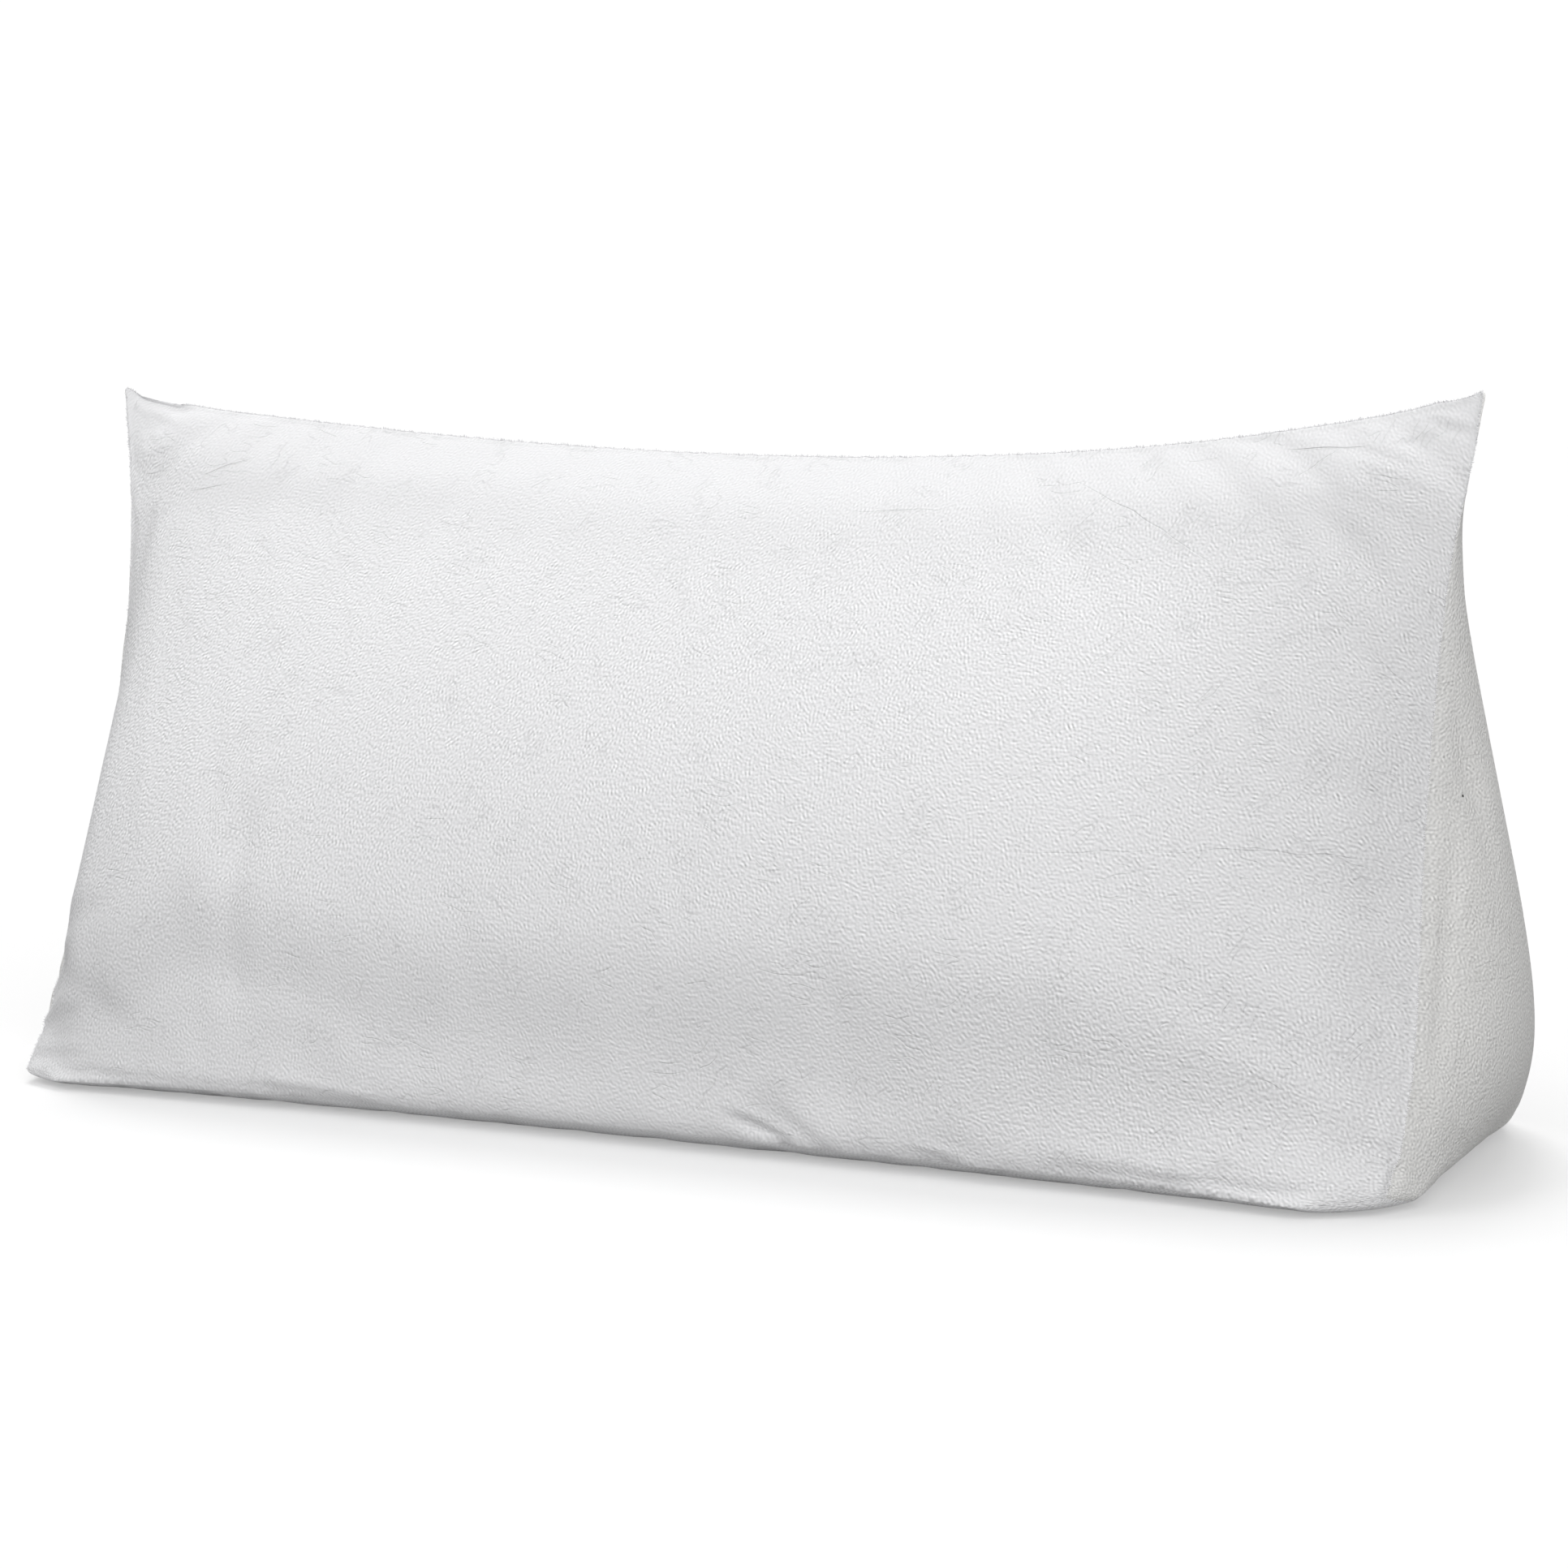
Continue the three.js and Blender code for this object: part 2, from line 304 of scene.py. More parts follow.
def fold_dip(panel, points, crown_share):
    """How far the panel's folds dip, fading out towards the seams."""
    dip = np.zeros_like(crown_share)
    for across, up, degrees, length, width, depth in FOLDS[panel]:
        angle = math.radians(degrees)
        dx = points[..., ACROSS_AXIS[panel]] - across
        dz = points[..., 2] - up
        along = dx * math.cos(angle) + dz * math.sin(angle)
        beside = dz * math.cos(angle) - dx * math.sin(angle)
        dip += depth * np.exp(-((along / (length / 2)) ** 2 + (beside / width) ** 2))
    return dip * smoothstep(crown_share, 0, FOLD_FADE)


# %% Fill each panel between its seams
FULLNESS_BEFORE_FILLING = 0.965
# Near the right front seam both crowns rise more gently, over these shares of the way across
GENTLE_RIGHT = {"by": 0.40, "over": (0.5, 0.9)}
GENTLE_GUSSET = {"by": 0.25, "over": (0.1, 0.5)}


def coons(bottom, top, left, right, u, v):
    """A smooth surface between four curves: across it by u, up it by v."""
    u = u[:, None, None]
    v = v[None, :, None]
    across = (1 - u) * left[None] + u * right[None]
    upwards = (1 - v) * bottom[:, None] + v * top[:, None]
    lower = (1 - u) * bottom[0] + u * bottom[-1]
    upper = (1 - u) * top[0] + u * top[-1]
    return across + upwards - (1 - v) * lower - v * upper


def push_out(panel, points, share):
    """How far the crown and its folds push each point out of the panel."""
    crown = FULLNESS_BEFORE_FILLING * CROWN_HEIGHTS[panel] * share
    return crown - fold_dip(panel, points, share)


def slanted_panel(face, u, v):
    crown = SLANTED_CROWN
    points = coons(
        long_base_seam(face, u), ridge_seam(u),
        slanted_seam("left", face, v), slanted_seam("right", face, v), u, v,
    )
    normal = np.array([0, -TOWARDS_RIDGE[face] * EAR_HEIGHT, DEPTH[face]])
    normal = normal / np.linalg.norm(normal)
    fullness = crown["fullness"] + GENTLE_RIGHT["by"] * smoothstep(u, *GENTLE_RIGHT["over"])
    across = (1 - np.abs(2 * u - 1) ** crown["power"]) ** fullness
    share = across[:, None] * hump(v, crown["low"], crown["high"])[None]
    return points + push_out(face, points, share)[..., None] * normal


def gusset(side, d, v):
    crown = GUSSET_CROWN
    front = slanted_seam(side, "front", v)
    back = slanted_seam(side, "back", v)
    points = (1 - d)[:, None, None] * front[None] + d[:, None, None] * back[None]
    straight = between(front[0], back[0], d)
    share = (1 - v) * falloff(v * EAR_HEIGHT, TUCK_HEIGHT)
    points += (short_base_seam(side, d) - straight)[:, None] * share[None, :, None]
    gentle = GENTLE_GUSSET["by"] * (1 - smoothstep(d, *GENTLE_GUSSET["over"]))
    fullness = crown["fullness"] + (gentle if side == "right" else 0)
    share = ((4 * d * (1 - d)) ** fullness)[:, None] * hump(v, crown["low"], crown["high"])[None]
    points[..., 0] += SIDES[side] * push_out(side, points, share)
    return points


def base_roll(share, length):
    """From 1 at the two seams down to 0 where the base lies flat."""
    return (1 - np.clip(np.minimum(share, 1 - share) * length / BASE_ROLL, 0, 1)) ** 2


def base_panel(u, d):
    points = coons(
        long_base_seam("front", u), long_base_seam("back", u),
        short_base_seam("left", d), short_base_seam("right", d), u, d,
    )
    flat = (1 - base_roll(u, BASE_WIDTH))[:, None] * (1 - base_roll(d, sum(DEPTH.values())))
    points[..., 2] *= 1 - flat
    return points


# %% Lay out the grids
COLUMNS_ACROSS = 116
ROWS_UP = 58
COLUMNS_DEEP = 32
SEAM_CROWDING = 0.7


def steps(count):
    """Shares from 0 to 1 that crowd towards both ends, where the seams need small faces."""
    even = np.linspace(0, 1, count + 1)
    crowded = 0.5 - 0.5 * np.cos(np.pi * even)
    return even + SEAM_CROWDING * (crowded - even)


across_steps = steps(COLUMNS_ACROSS)
up_steps = steps(ROWS_UP)
deep_steps = steps(COLUMNS_DEEP)
PANELS = {
    "front": slanted_panel("front", across_steps, up_steps),
    "back": slanted_panel("back", across_steps, up_steps),
    "base": base_panel(across_steps, deep_steps),
    "left": gusset("left", deep_steps, up_steps),
    "right": gusset("right", deep_steps, up_steps),
}
PANEL_NAMES = list(PANELS)
every_point = np.concatenate([grid.reshape(-1, 3) for grid in PANELS.values()])
print(len(every_point), "points, from", every_point.min(0).round(1), "to", every_point.max(0).round(1))

# %% [markdown]
# ## One closed cover with a cutting pattern
#
# The panels' edge points lie on the same seams, so merging doubles sews them into one closed
# mesh. Each face remembers its panel in an attribute, so the seams can be found again at any
# time: they are the edges whose two faces belong to different panels.
#
# The UV map is the cutting pattern. Every panel lies flat and unstretched on a square sheet, with
# lengths measured along the cloth. The pile pattern reads the same flat places from an attribute of
# its own.

# %% Cut the pattern
SHEET_SIDE = 1.70
PATTERN = {
    "front": {"corner": (0.02, 0.02), "turned": False},
    "back": {"corner": (0.02, 0.68), "turned": False},
    "base": {"corner": (1.16, 0.02), "turned": True},
    "left": {"corner": (0.02, 1.32), "turned": True},
    "right": {"corner": (1.20, 1.10), "turned": False},
}
# The faces of these grids look inward as they are counted, so they are turned over
INWARD_GRIDS = ("back", "base", "left")
MERGE_DISTANCE = 1e-6


def flat_panel(name, grid):
    """Where each grid point lies on the flat panel, in metres, from the panel's own corner."""
    across = grid[..., ACROSS_AXIS[name]]
    strides = np.linalg.norm(np.diff(grid, axis=1), axis=2)
    up = np.concatenate([np.zeros((len(grid), 1)), np.cumsum(strides, axis=1)], axis=1)
    return np.stack([across - across.min(), up], axis=-1) * MM


def on_sheet(name, flat):
    """The flat panel moved to its place on the sheet."""
    turned = flat[..., ::-1] if PATTERN[name]["turned"] else flat
    return (turned + np.array(PATTERN[name]["corner"])) / SHEET_SIDE


def store(mesh, name, kind, domain, values):
    """Keeps the values in the mesh as a named attribute."""
    field = "vector" if kind == "FLOAT_VECTOR" else "value"
    mesh.attributes.new(name, kind, domain).data.foreach_set(field, np.ravel(values))


def sew_cover(name):
    """All panels in one mesh, with the pattern, the pile's own coordinates and the panel's number."""
    points, faces, uvs, naps, owners = [], [], [], [], []
    for number, (panel, grid) in enumerate(PANELS.items()):
        index = np.arange(grid[..., 0].size).reshape(grid.shape[:2])
        quads = np.stack(
            [index[:-1, :-1], index[1:, :-1], index[1:, 1:], index[:-1, 1:]], axis=-1
        ).reshape(-1, 4)
        if panel in INWARD_GRIDS:
            quads = quads[:, ::-1]
        flat = flat_panel(panel, grid).reshape(-1, 2)
        nap = np.hstack([flat - flat.max(0) / 2, np.full((len(flat), 1), number)])
        faces.append(quads + sum(len(part) for part in points))
        points.append(grid.reshape(-1, 3) * MM)
        uvs.append(on_sheet(panel, flat)[quads].reshape(-1, 2))
        naps.append(nap[quads].reshape(-1, 3))
        owners.append(np.full(len(quads), number))
    mesh = bpy.data.meshes.new(name)
    mesh.from_pydata(np.concatenate(points).tolist(), [], np.concatenate(faces).tolist())
    mesh.uv_layers.new(name="OFBake").data.foreach_set("uv", np.concatenate(uvs).ravel())
    store(mesh, "nap", "FLOAT_VECTOR", "CORNER", np.concatenate(naps))
    store(mesh, "panel", "INT", "FACE", np.concatenate(owners))
    return mesh


def points_of(mesh, field="co"):
    found = np.empty(len(mesh.vertices) * 3)
    mesh.vertices.foreach_get(field, found)
    return found.reshape(-1, 3)


def normals_of(mesh):
    return points_of(mesh, "normal")


def move_points(mesh, points):
    mesh.vertices.foreach_set("co", points.ravel())
    mesh.update()


mesh = sew_cover("plush_cover")
sewn = bmesh.new()
sewn.from_mesh(mesh)
bmesh.ops.remove_doubles(sewn, verts=sewn.verts, dist=MERGE_DISTANCE)
sewn.to_mesh(mesh)
sewn.free()
cover = add_object("plush_cover", mesh)

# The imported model's origin is under the middle of its box, so the cover moves there too
centre = (every_point.min(0) + every_point.max(0)) / 2 * MM
node_centre = (node_low + node_high) / 2
shift = np.array([node_centre.x - centre[0], node_centre.y - centre[1], 0])
move_points(mesh, points_of(mesh) + shift)
print("sewn into", len(mesh.vertices), "points; moved by", (shift / MM).round(2), "mm")


# %% Find the seams
def seam_edges(mesh):
    """Pairs of points along each seam, with the names of the two panels that meet there."""
    owner = np.empty(len(mesh.polygons), dtype=np.int32)
    mesh.attributes["panel"].data.foreach_get("value", owner)
    seen = {}
    for face in mesh.polygons:
        for key in face.edge_keys:
            seen.setdefault(key, []).append(PANEL_NAMES[owner[face.index]])
    return {key: tuple(pair) for key, pair in seen.items() if len(set(pair)) == 2}


seams = seam_edges(mesh)
store(mesh, "crease_edge", "FLOAT", "EDGE", [float(edge.key in seams) for edge in mesh.edges])
print(len(seams), "edges lie on seams")

# %% [markdown]
# ## Filling it
#
# Blender's cloth simulation can blow up a closed mesh with an even pressure, which is what a
# filling does. The seams are pinned, because their shape is known, and so are the ears and the
# part of the base that rests on the floor. The cloth between them is cut a touch too large, by
# the slack, so it settles into slight, uneven tension instead of a perfect formula. A cap on how
# far any point may move keeps the outline.

# %% Let the filling press
SLACK = 0.004
CLOTH = {
    "quality": 6,
    "mass": 0.35,
    "tension_stiffness": 20,
    "compression_stiffness": 12,
    "shear_stiffness": 6,
    "bending_stiffness": 1.5,
    "air_damping": 3,
    "vertex_group_mass": "held",
    "use_pressure": True,
    "uniform_pressure_force": 4.0,
    "shrink_min": -SLACK,
}
FRAMES = 20
CAP = 9 * MM
HELD_NEAR_EARS = 45 * MM
REST_GAP = 0.3 * MM


def in_scene(place):
    """A place of the outline, in millimetres, moved as the cover was."""
    return place * MM + shift


def held_points(mesh):
    """Points that the filling doesn't move: the seams, the ears and what lies on the floor."""
    points = points_of(mesh)
    held = {corner for key in seams for corner in key}
    for side in SIDES:
        near = np.linalg.norm(points - in_scene(ear_tip(side)), axis=1) < HELD_NEAR_EARS
        held.update(np.flatnonzero(near).tolist())
    held.update(np.flatnonzero(points[:, 2] < REST_GAP).tolist())
    return sorted(held)


def press_filling(cover):
    """Runs the simulation and puts its last frame into the mesh."""
    scene = bpy.context.scene
    pins = cover.vertex_groups.new(name="held")
    pins.add(held_points(cover.data), 1.0, "REPLACE")
    cloth = cover.modifiers.new("filling", "CLOTH")
    for key, value in CLOTH.items():
        setattr(cloth.settings, key, value)
    cloth.settings.effector_weights.gravity = 0
    cloth.collision_settings.use_self_collision = False
    before = points_of(cover.data)
    for number in range(1, FRAMES + 1):
        scene.frame_set(number)
    pressed = cover.evaluated_get(bpy.context.evaluated_depsgraph_get())
    after = points_of(pressed.data)
    cover.modifiers.remove(cloth)
    scene.frame_set(1)
    moved = after - before
    length = np.linalg.norm(moved, axis=1, keepdims=True)
    print("the filling moved the cloth by", (length.mean() / MM).round(2), "mm on average,",
          (length.max() / MM).round(1), "at most")
    capped = moved * CAP / (CAP + length)
    settled = before + capped
    settled[:, 2] = np.maximum(settled[:, 2], 0)
    move_points(cover.data, settled)


press_filling(cover)


# %% Round it off with one subdivision
def finish_modifiers(piece):
    """Turns the piece and its modifiers into one plain mesh."""
    depsgraph = bpy.context.evaluated_depsgraph_get()
    result = bpy.data.meshes.new_from_object(piece.evaluated_get(depsgraph), depsgraph=depsgraph)
    piece.modifiers.clear()
    piece.data = result
    return result


smoother = cover.modifiers.new("smoother", "SUBSURF")
smoother.levels = 1
smoother.render_levels = 1
mesh = finish_modifiers(cover)
mesh.name = "plush_cover"
seams = seam_edges(mesh)
for face in mesh.polygons:
    face.use_smooth = True
print(len(mesh.polygons), "faces after subdivision")

# %% [markdown]
# ## Seams you can feel
#
# A closed seam in plush is a soft furrow: the stitching pulls the cloth in, and the pile that is
# caught in the seam stands up along its middle as a thin ridge. The stitches also gather the cloth
# a little, which leaves small puckers that fade out a finger's width from the seam.
#
# Each point of the mesh looks up its nearest point on a seam. The distance between the two gives
# the furrow and the ridge, and noise read at the seam gives the puckers, so that each pucker is a
# short fold square to the seam.
#
# A seam isn't equally sharp all along. On the right of the front the filling pushes the cloth out
# so far that the seam lies on a soft roll. Both lower corners are round and the ears are blunt. So
# the mesh is relaxed there first: each point moves a little towards the middle of its neighbours,
# again and again, which is how taut cloth loses its corners.

# %% Measure the distance to the seams
SEAM_SAMPLES = 3
NOISE_STEP = (7.3, 3.1, 5.7)


def seam_points(mesh, seams):
    """Points close together along every seam."""
    points = points_of(mesh)
    start = points[[key[0] for key in seams]]
    end = points[[key[1] for key in seams]]
    shares = np.arange(SEAM_SAMPLES) / SEAM_SAMPLES
    return np.concatenate([start + share * (end - start) for share in shares])


def nearest_on(samples, points):
    """The index of each point's nearest sample, and how far away it is."""
    tree = KDTree(len(samples))
    for number, sample in enumerate(samples):
        tree.insert(sample, number)
    tree.balance()
    found = [tree.find(point)[1:] for point in points]
    return np.array([hit[0] for hit in found]), np.array([hit[1] for hit in found])


def noise_at(points, size, seed):
    """Smooth noise from about -1 to 1 that varies over that size, in metres."""
    offset = Vector([seed * step for step in NOISE_STEP])
    return np.array([noise.noise(Vector(point) / size + offset) for point in points])


# %% Round off the right front seam, the corners and the ears
SOFT_SEAM = {"full": 8 * MM, "reach": 30 * MM, "rounds": 110}
SOFT_CORNERS = {
    "left": {"full": 12 * MM, "reach": 42 * MM, "rounds": 120},
    "right": {"full": 16 * MM, "reach": 52 * MM, "rounds": 160},
}
SOFT_EARS = {
    "left": {"full": 5 * MM, "reach": 22 * MM, "rounds": 10},
    "right": {"full": 7 * MM, "reach": 34 * MM, "rounds": 40},
}
SHARP_EAR = (0.37, 0.43)


def relax(mesh, weight, rounds):
    """Moves each point towards the middle of its neighbours, as far as its weight says."""
    points = points_of(mesh)
    ends = np.empty(len(mesh.edges) * 2, dtype=np.int32)
    mesh.edges.foreach_get("vertices", ends)
    first, second = ends.reshape(-1, 2).T
    count = np.bincount(ends, minlength=len(points))
    for _ in range(rounds):
        middle = np.empty_like(points)
        for axis in range(3):
            there = np.bincount(first, points[second, axis], len(points))
            back = np.bincount(second, points[first, axis], len(points))
            middle[:, axis] = (there + back) / count
        points += (weight / 2)[:, None] * (middle - points)
    move_points(mesh, points)


def near(distance, size):
    return 1 - smoothstep(distance, size["full"], size["reach"])


def front_seam(side):
    """Points along the seam between the front and that gusset."""
    edges = {key: pair for key, pair in seams.items() if set(pair) == {"front", side}}
    return seam_points(mesh, edges)


soft_samples = front_seam("right")
corners = {side: min(front_seam(side), key=lambda point: point[2]) for side in SOFT_CORNERS}
tips = {side: in_scene(ear_tip(side)) for side in SOFT_EARS}
softness = near(nearest_on(soft_samples, points_of(mesh))[1], SOFT_SEAM)
softness *= 1 - smoothstep(points_of(mesh)[:, 2], *SHARP_EAR)
relax(mesh, softness, SOFT_SEAM["rounds"])
for places, sizes in ((corners, SOFT_CORNERS), (tips, SOFT_EARS)):
    for side, size in sizes.items():
        distance = np.linalg.norm(points_of(mesh) - places[side], axis=1)
        relax(mesh, near(distance, size), size["rounds"])
print("rounded off the right front seam at", len(soft_samples), "points,",
      len(corners), "corners and", len(tips), "ears")

# %% Look up the nearest seam
samples = seam_points(mesh, seams)
nearest, seam_distance = nearest_on(samples, points_of(mesh))
print("seams measured at", len(samples), "points")

# %% Sew the furrow, the ridge and the puckers
FURROW = {"depth": 0.5 * MM, "width": 7 * MM}
SEAM_RIDGE = {"height": 0.9 * MM, "width": 1.8 * MM, "unevenness": 0.5, "size": 7 * MM}
PUCKER = {"depth": 0.5 * MM, "reach": 14 * MM, "size": 14 * MM}
GATHER = {"depth": 0.8 * MM, "reach": 36 * MM, "size": 42 * MM}
FLOOR_SEAM = {"heights": (14 * MM, 34 * MM), "puckers": 0.4}
FIRST_PUCKER_SEED = 2

uneven = 1 + SEAM_RIDGE["unevenness"] * noise_at(samples, SEAM_RIDGE["size"], 1)[nearest]
ridge = SEAM_RIDGE["height"] * uneven * falloff(seam_distance, SEAM_RIDGE["width"])
furrow = FURROW["depth"] * falloff(seam_distance, FURROW["width"])
off_seam = 1 - falloff(seam_distance, SEAM_RIDGE["width"] * 2)
on_the_floor = 1 - smoothstep(points_of(mesh)[:, 2], *FLOOR_SEAM["heights"])
relief = (ridge - furrow) * (1 - on_the_floor)
fewer = 1 - (1 - FLOOR_SEAM["puckers"]) * on_the_floor
for seed, kind in enumerate((PUCKER, GATHER), FIRST_PUCKER_SEED):
    wave = noise_at(samples, kind["size"], seed)[nearest]
    relief += kind["depth"] * wave * falloff(seam_distance, kind["reach"]) * off_seam * fewer
print("the seams stand", round(ridge.max() / MM, 2), "mm high at most")

# %% [markdown]
# ## How the filling has settled
#
# The filling has sunk a little. The front bulges out above a soft belly line, about a third of the
# way up, that falls towards the right, and below it the cloth turns under. Close to the floor the
# front swells once more, like a toe, where the filling pushes into the lower corner. Each is one
# smooth addition, a few millimetres high. At the left end the belly is twice as high and the toe
# runs on into it. The toe starts a little above the floor, so that the cloth still rounds under it.
#
# The belly line is given by a few places, across and up in millimetres, and a smooth curve runs
# through them.

# %% Settle the filling
BELLY_LINE = (
    (-470, 60), (-410, 84), (-345, 130), (-280, 122), (-190, 108), (0, 112), (230, 118), (310, 112),
    (375, 100), (470, 80),
)
BELLY = {"height": 7.5 * MM, "below": 42 * MM, "above": 36 * MM, "fade": (0.20, 0.44)}
TOE = {"height": 5.5 * MM, "up": 22 * MM, "width": 26 * MM, "turned_under": (3 * MM, 23 * MM)}
TOE_RUNS_ON = (0.10, 0.30)
SHOULDER = {"height": 3.5 * MM, "down": 34 * MM, "width": 26 * MM}
MORE_AT_LEFT = {"share": 0.9, "over": (-0.42, -0.12)}
FACING_FRONT = (0.3, 0.7)
CLEAR_OF_SEAMS = 60 * MM
FRONT_END = 0.49
RIDGE_SAMPLES = 200
LUMPS = {"height": 0.7 * MM, "size": 150 * MM}
RIPPLES = {"height": 0.14 * MM, "size": 48 * MM}
FIRST_LUMP_SEED = 10


def height_of_line(line, across):
    """The line's height at each place across, without corners."""
    places = np.array(line) * MM
    step = np.clip(np.searchsorted(places[:, 0], across) - 1, 0, len(places) - 2)
    start, end = places[step], places[step + 1]
    share = smoothstep(across, start[:, 0], end[:, 0])
    return start[:, 1] + share * (end[:, 1] - start[:, 1])


points = points_of(mesh)
x, z = points[:, 0], points[:, 2]
facing_front = smoothstep(-normals_of(mesh)[:, 1], *FACING_FRONT)
from_ends = smoothstep(FRONT_END - np.abs(x), 0, CLEAR_OF_SEAMS)
at_left = 1 - smoothstep(x, *MORE_AT_LEFT["over"])
belly = smoothstep(z - height_of_line(BELLY_LINE, x), -BELLY["below"], BELLY["above"])
belly *= BELLY["height"] * (1 - smoothstep(z, *BELLY["fade"]))
belly *= 1 + MORE_AT_LEFT["share"] * at_left
toe = falloff(z - TOE["up"], TOE["width"])
# At the left end the toe doesn't fall back above its height but runs on into the belly
runs_on = at_left * (z > TOE["up"]) * (1 - smoothstep(z, *TOE_RUNS_ON))
toe = TOE["height"] * smoothstep(z, *TOE["turned_under"]) * (toe + runs_on * (1 - toe))
ridge_line = in_scene(ridge_seam(np.linspace(0, 1, RIDGE_SAMPLES)))
below_ridge = np.interp(x, ridge_line[:, 0], ridge_line[:, 2]) - z
shoulder = SHOULDER["height"] * falloff(below_ridge - SHOULDER["down"], SHOULDER["width"])
relief += (belly + toe + shoulder) * facing_front * from_ends
clear_of_seams = smoothstep(seam_distance, 0, CLEAR_OF_SEAMS)
for seed, kind in enumerate((LUMPS, RIPPLES), FIRST_LUMP_SEED):
    relief += kind["height"] * noise_at(points, kind["size"], seed) * clear_of_seams
print("the belly stands out by", round(belly.max() / MM, 1), "mm")

# %% [markdown]
# ## Small folds
#
# The small folds are placed where cloth gives: at the corners, at the ears and where the lower front
# seam is pinched. Each is a line between two places on a panel, given across and up in millimetres. A
# ray from outside finds the places on the cloth. The trough gets a raised lip on its upper side, since
# cloth that goes down must come up again. A fold with a negative depth is a low ridge.

# %% Place the small folds
# Each small fold's start and end, and its width, depth and lip
SMALL_FOLDS = {
    "front": (
        ((-284, 214), (-306, 172), 9, 1.5, 1.0),
        ((-303, 182), (-308, 100), 15, 3.6, 1.2),
        ((-345, 262), (-330, 196), 8, 0.6, 0.4),
        ((-421, 316), (-392, 204), 8, -0.5, 0.0),
        ((-379, 404), (-214, 404), 15, 0.5, 0.2),
        ((-493, 50), (-455, 86), 7, 1.8, 1.0),
        ((-480, 96), (-430, 122), 9, 1.0, 0.7),
        ((-470, 84), (-414, 60), 12, 1.4, 0.6),
        ((-488, 38), (-450, 52), 6, 1.6, 1.0),
        ((-478, 20), (-446, 24), 5, 1.4, 0.8),
        ((-262, 70), (-214, 46), 16, -0.7, 0.0),
        ((76, 27), (107, 13), 4, 3.2, 1.6),
        ((108, 30), (128, 14), 5, 1.4, 0.6),
        ((202, 16), (232, 10), 4, 2.6, 1.2),
        ((300, 18), (352, 14), 6, 1.4, 0.8),
        ((-270, 16), (-214, 13), 5, 1.8, 0.9),
        ((370, 124), (466, 80), 15, 1.7, 0.0),
        ((404, 86), (450, 64), 12, -0.9, 0.0),
        ((-486, 483), (-460, 474), 5, 3.0, 0.4),
        ((470, 466), (486, 462), 3, 1.4, 0.6),
        ((428, 448), (452, 442), 3, 0.8, 0.5),
        ((436, 434), (466, 424), 3, 0.8, 0.5),
        ((422, 420), (446, 412), 3, 0.7, 0.4),
        ((-492, 440), (-474, 450), 3, 0.8, 0.5),
        ((-490, 424), (-462, 440), 3, 0.8, 0.5),
        ((-484, 408), (-452, 430), 3, 0.7, 0.4),
        ((472, 42), (486, 26), 5, 1.2, 0.8),
        ((486, 26), (484, 16), 4, 1.3, 0.8),
        ((382, 283), (440, 258), 5, 0.40, 0.0),
        ((440, 258), (487, 216), 5, 0.50, 0.3),
        ((400, 257), (446, 246), 4, 0.35, 0.0),
        ((446, 246), (487, 222), 4, 0.40, 0.2),
        ((424, 226), (488, 204), 4, 0.40, 0.3),
        ((426, 296), (488, 280), 5, 0.45, 0.2),
        ((436, 326), (486, 306), 5, 0.35, 0.2),
        ((405, 183), (488, 163), 5, 0.45, 0.3),
        ((430, 150), (489, 140), 5, 0.35, 0.2),
    ),
    "right": (
        ((-58, 232), (-36, 204), 4, 0.50, 0.2),
        ((-72, 188), (-96, 112), 9, 1.4, 0.7),
        ((-46, 278), (-38, 216), 10, 1.2, 0.6),
        ((-120, 60), (-86, 30), 8, 1.4, 0.8),
        ((150, 60), (120, 34), 8, 1.6, 0.8),
    ),
    "left": (
        ((-120, 70), (-92, 40), 8, 1.4, 0.8),
        ((140, 70), (116, 34), 8, 1.6, 0.8),
    ),
    "back": (
        ((-480, 60), (-448, 90), 8, 1.8, 1.0),
        ((474, 52), (446, 84), 8, 1.8, 1.0),
        ((-60, 22), (-20, 12), 5, 2.0, 1.0),
        ((150, 20), (204, 14), 6, 1.8, 1.0),
        ((-474, 466), (-436, 452), 8, 1.6, 0.9),
        ((474, 462), (440, 450), 8, 1.6, 0.9),
    ),
}
OUTWARD = {"front": (0, -1, 0), "back": (0, 1, 0), "left": (-1, 0, 0), "right": (1, 0, 0)}
RAY_START = 2.0
FOLD_ENDS = 0.35
LIP_PLACE = 1.7
REST_HEIGHT = 6 * MM


def cloth_tree(mesh):
    """The mesh as a tree that rays can be sent at."""
    corners = [tuple(point) for point in points_of(mesh)]
    return BVHTree.FromPolygons(corners, [tuple(face.vertices) for face in mesh.polygons])


def find_on_cloth(tree, panel, place):
    """The point of the cloth at that place, across and up in millimetres, seen from outside."""
    outward = Vector(OUTWARD[panel])
    flat = Vector((0, 0, place[1] * MM))
    flat[ACROSS_AXIS[panel]] = place[0] * MM
    hit = tree.ray_cast(flat + outward * RAY_START, -outward)[0]
    return np.array(hit or tree.find_nearest(flat)[0])


def small_fold(points, start, end, width, depth, lip):
    """A trough along the line from start to end, with a raised lip on its upper side."""
    line = end - start
    length = np.linalg.norm(line)
    direction = line / length
    upper_side = np.cross(direction, np.cross([0, 0, 1], direction))
    offset = points - start
    along = offset @ direction
    beside = np.linalg.norm(offset - np.outer(along, direction), axis=1)
    signed = np.sign(offset @ upper_side) * beside
    past_ends = np.maximum(0, np.abs(along - length / 2) - length / 2)
    ends = falloff(past_ends, FOLD_ENDS * length)
    trough = falloff(beside, width)
    raised = falloff(signed - LIP_PLACE * width, width)
    return ends * (lip * raised - depth * trough)


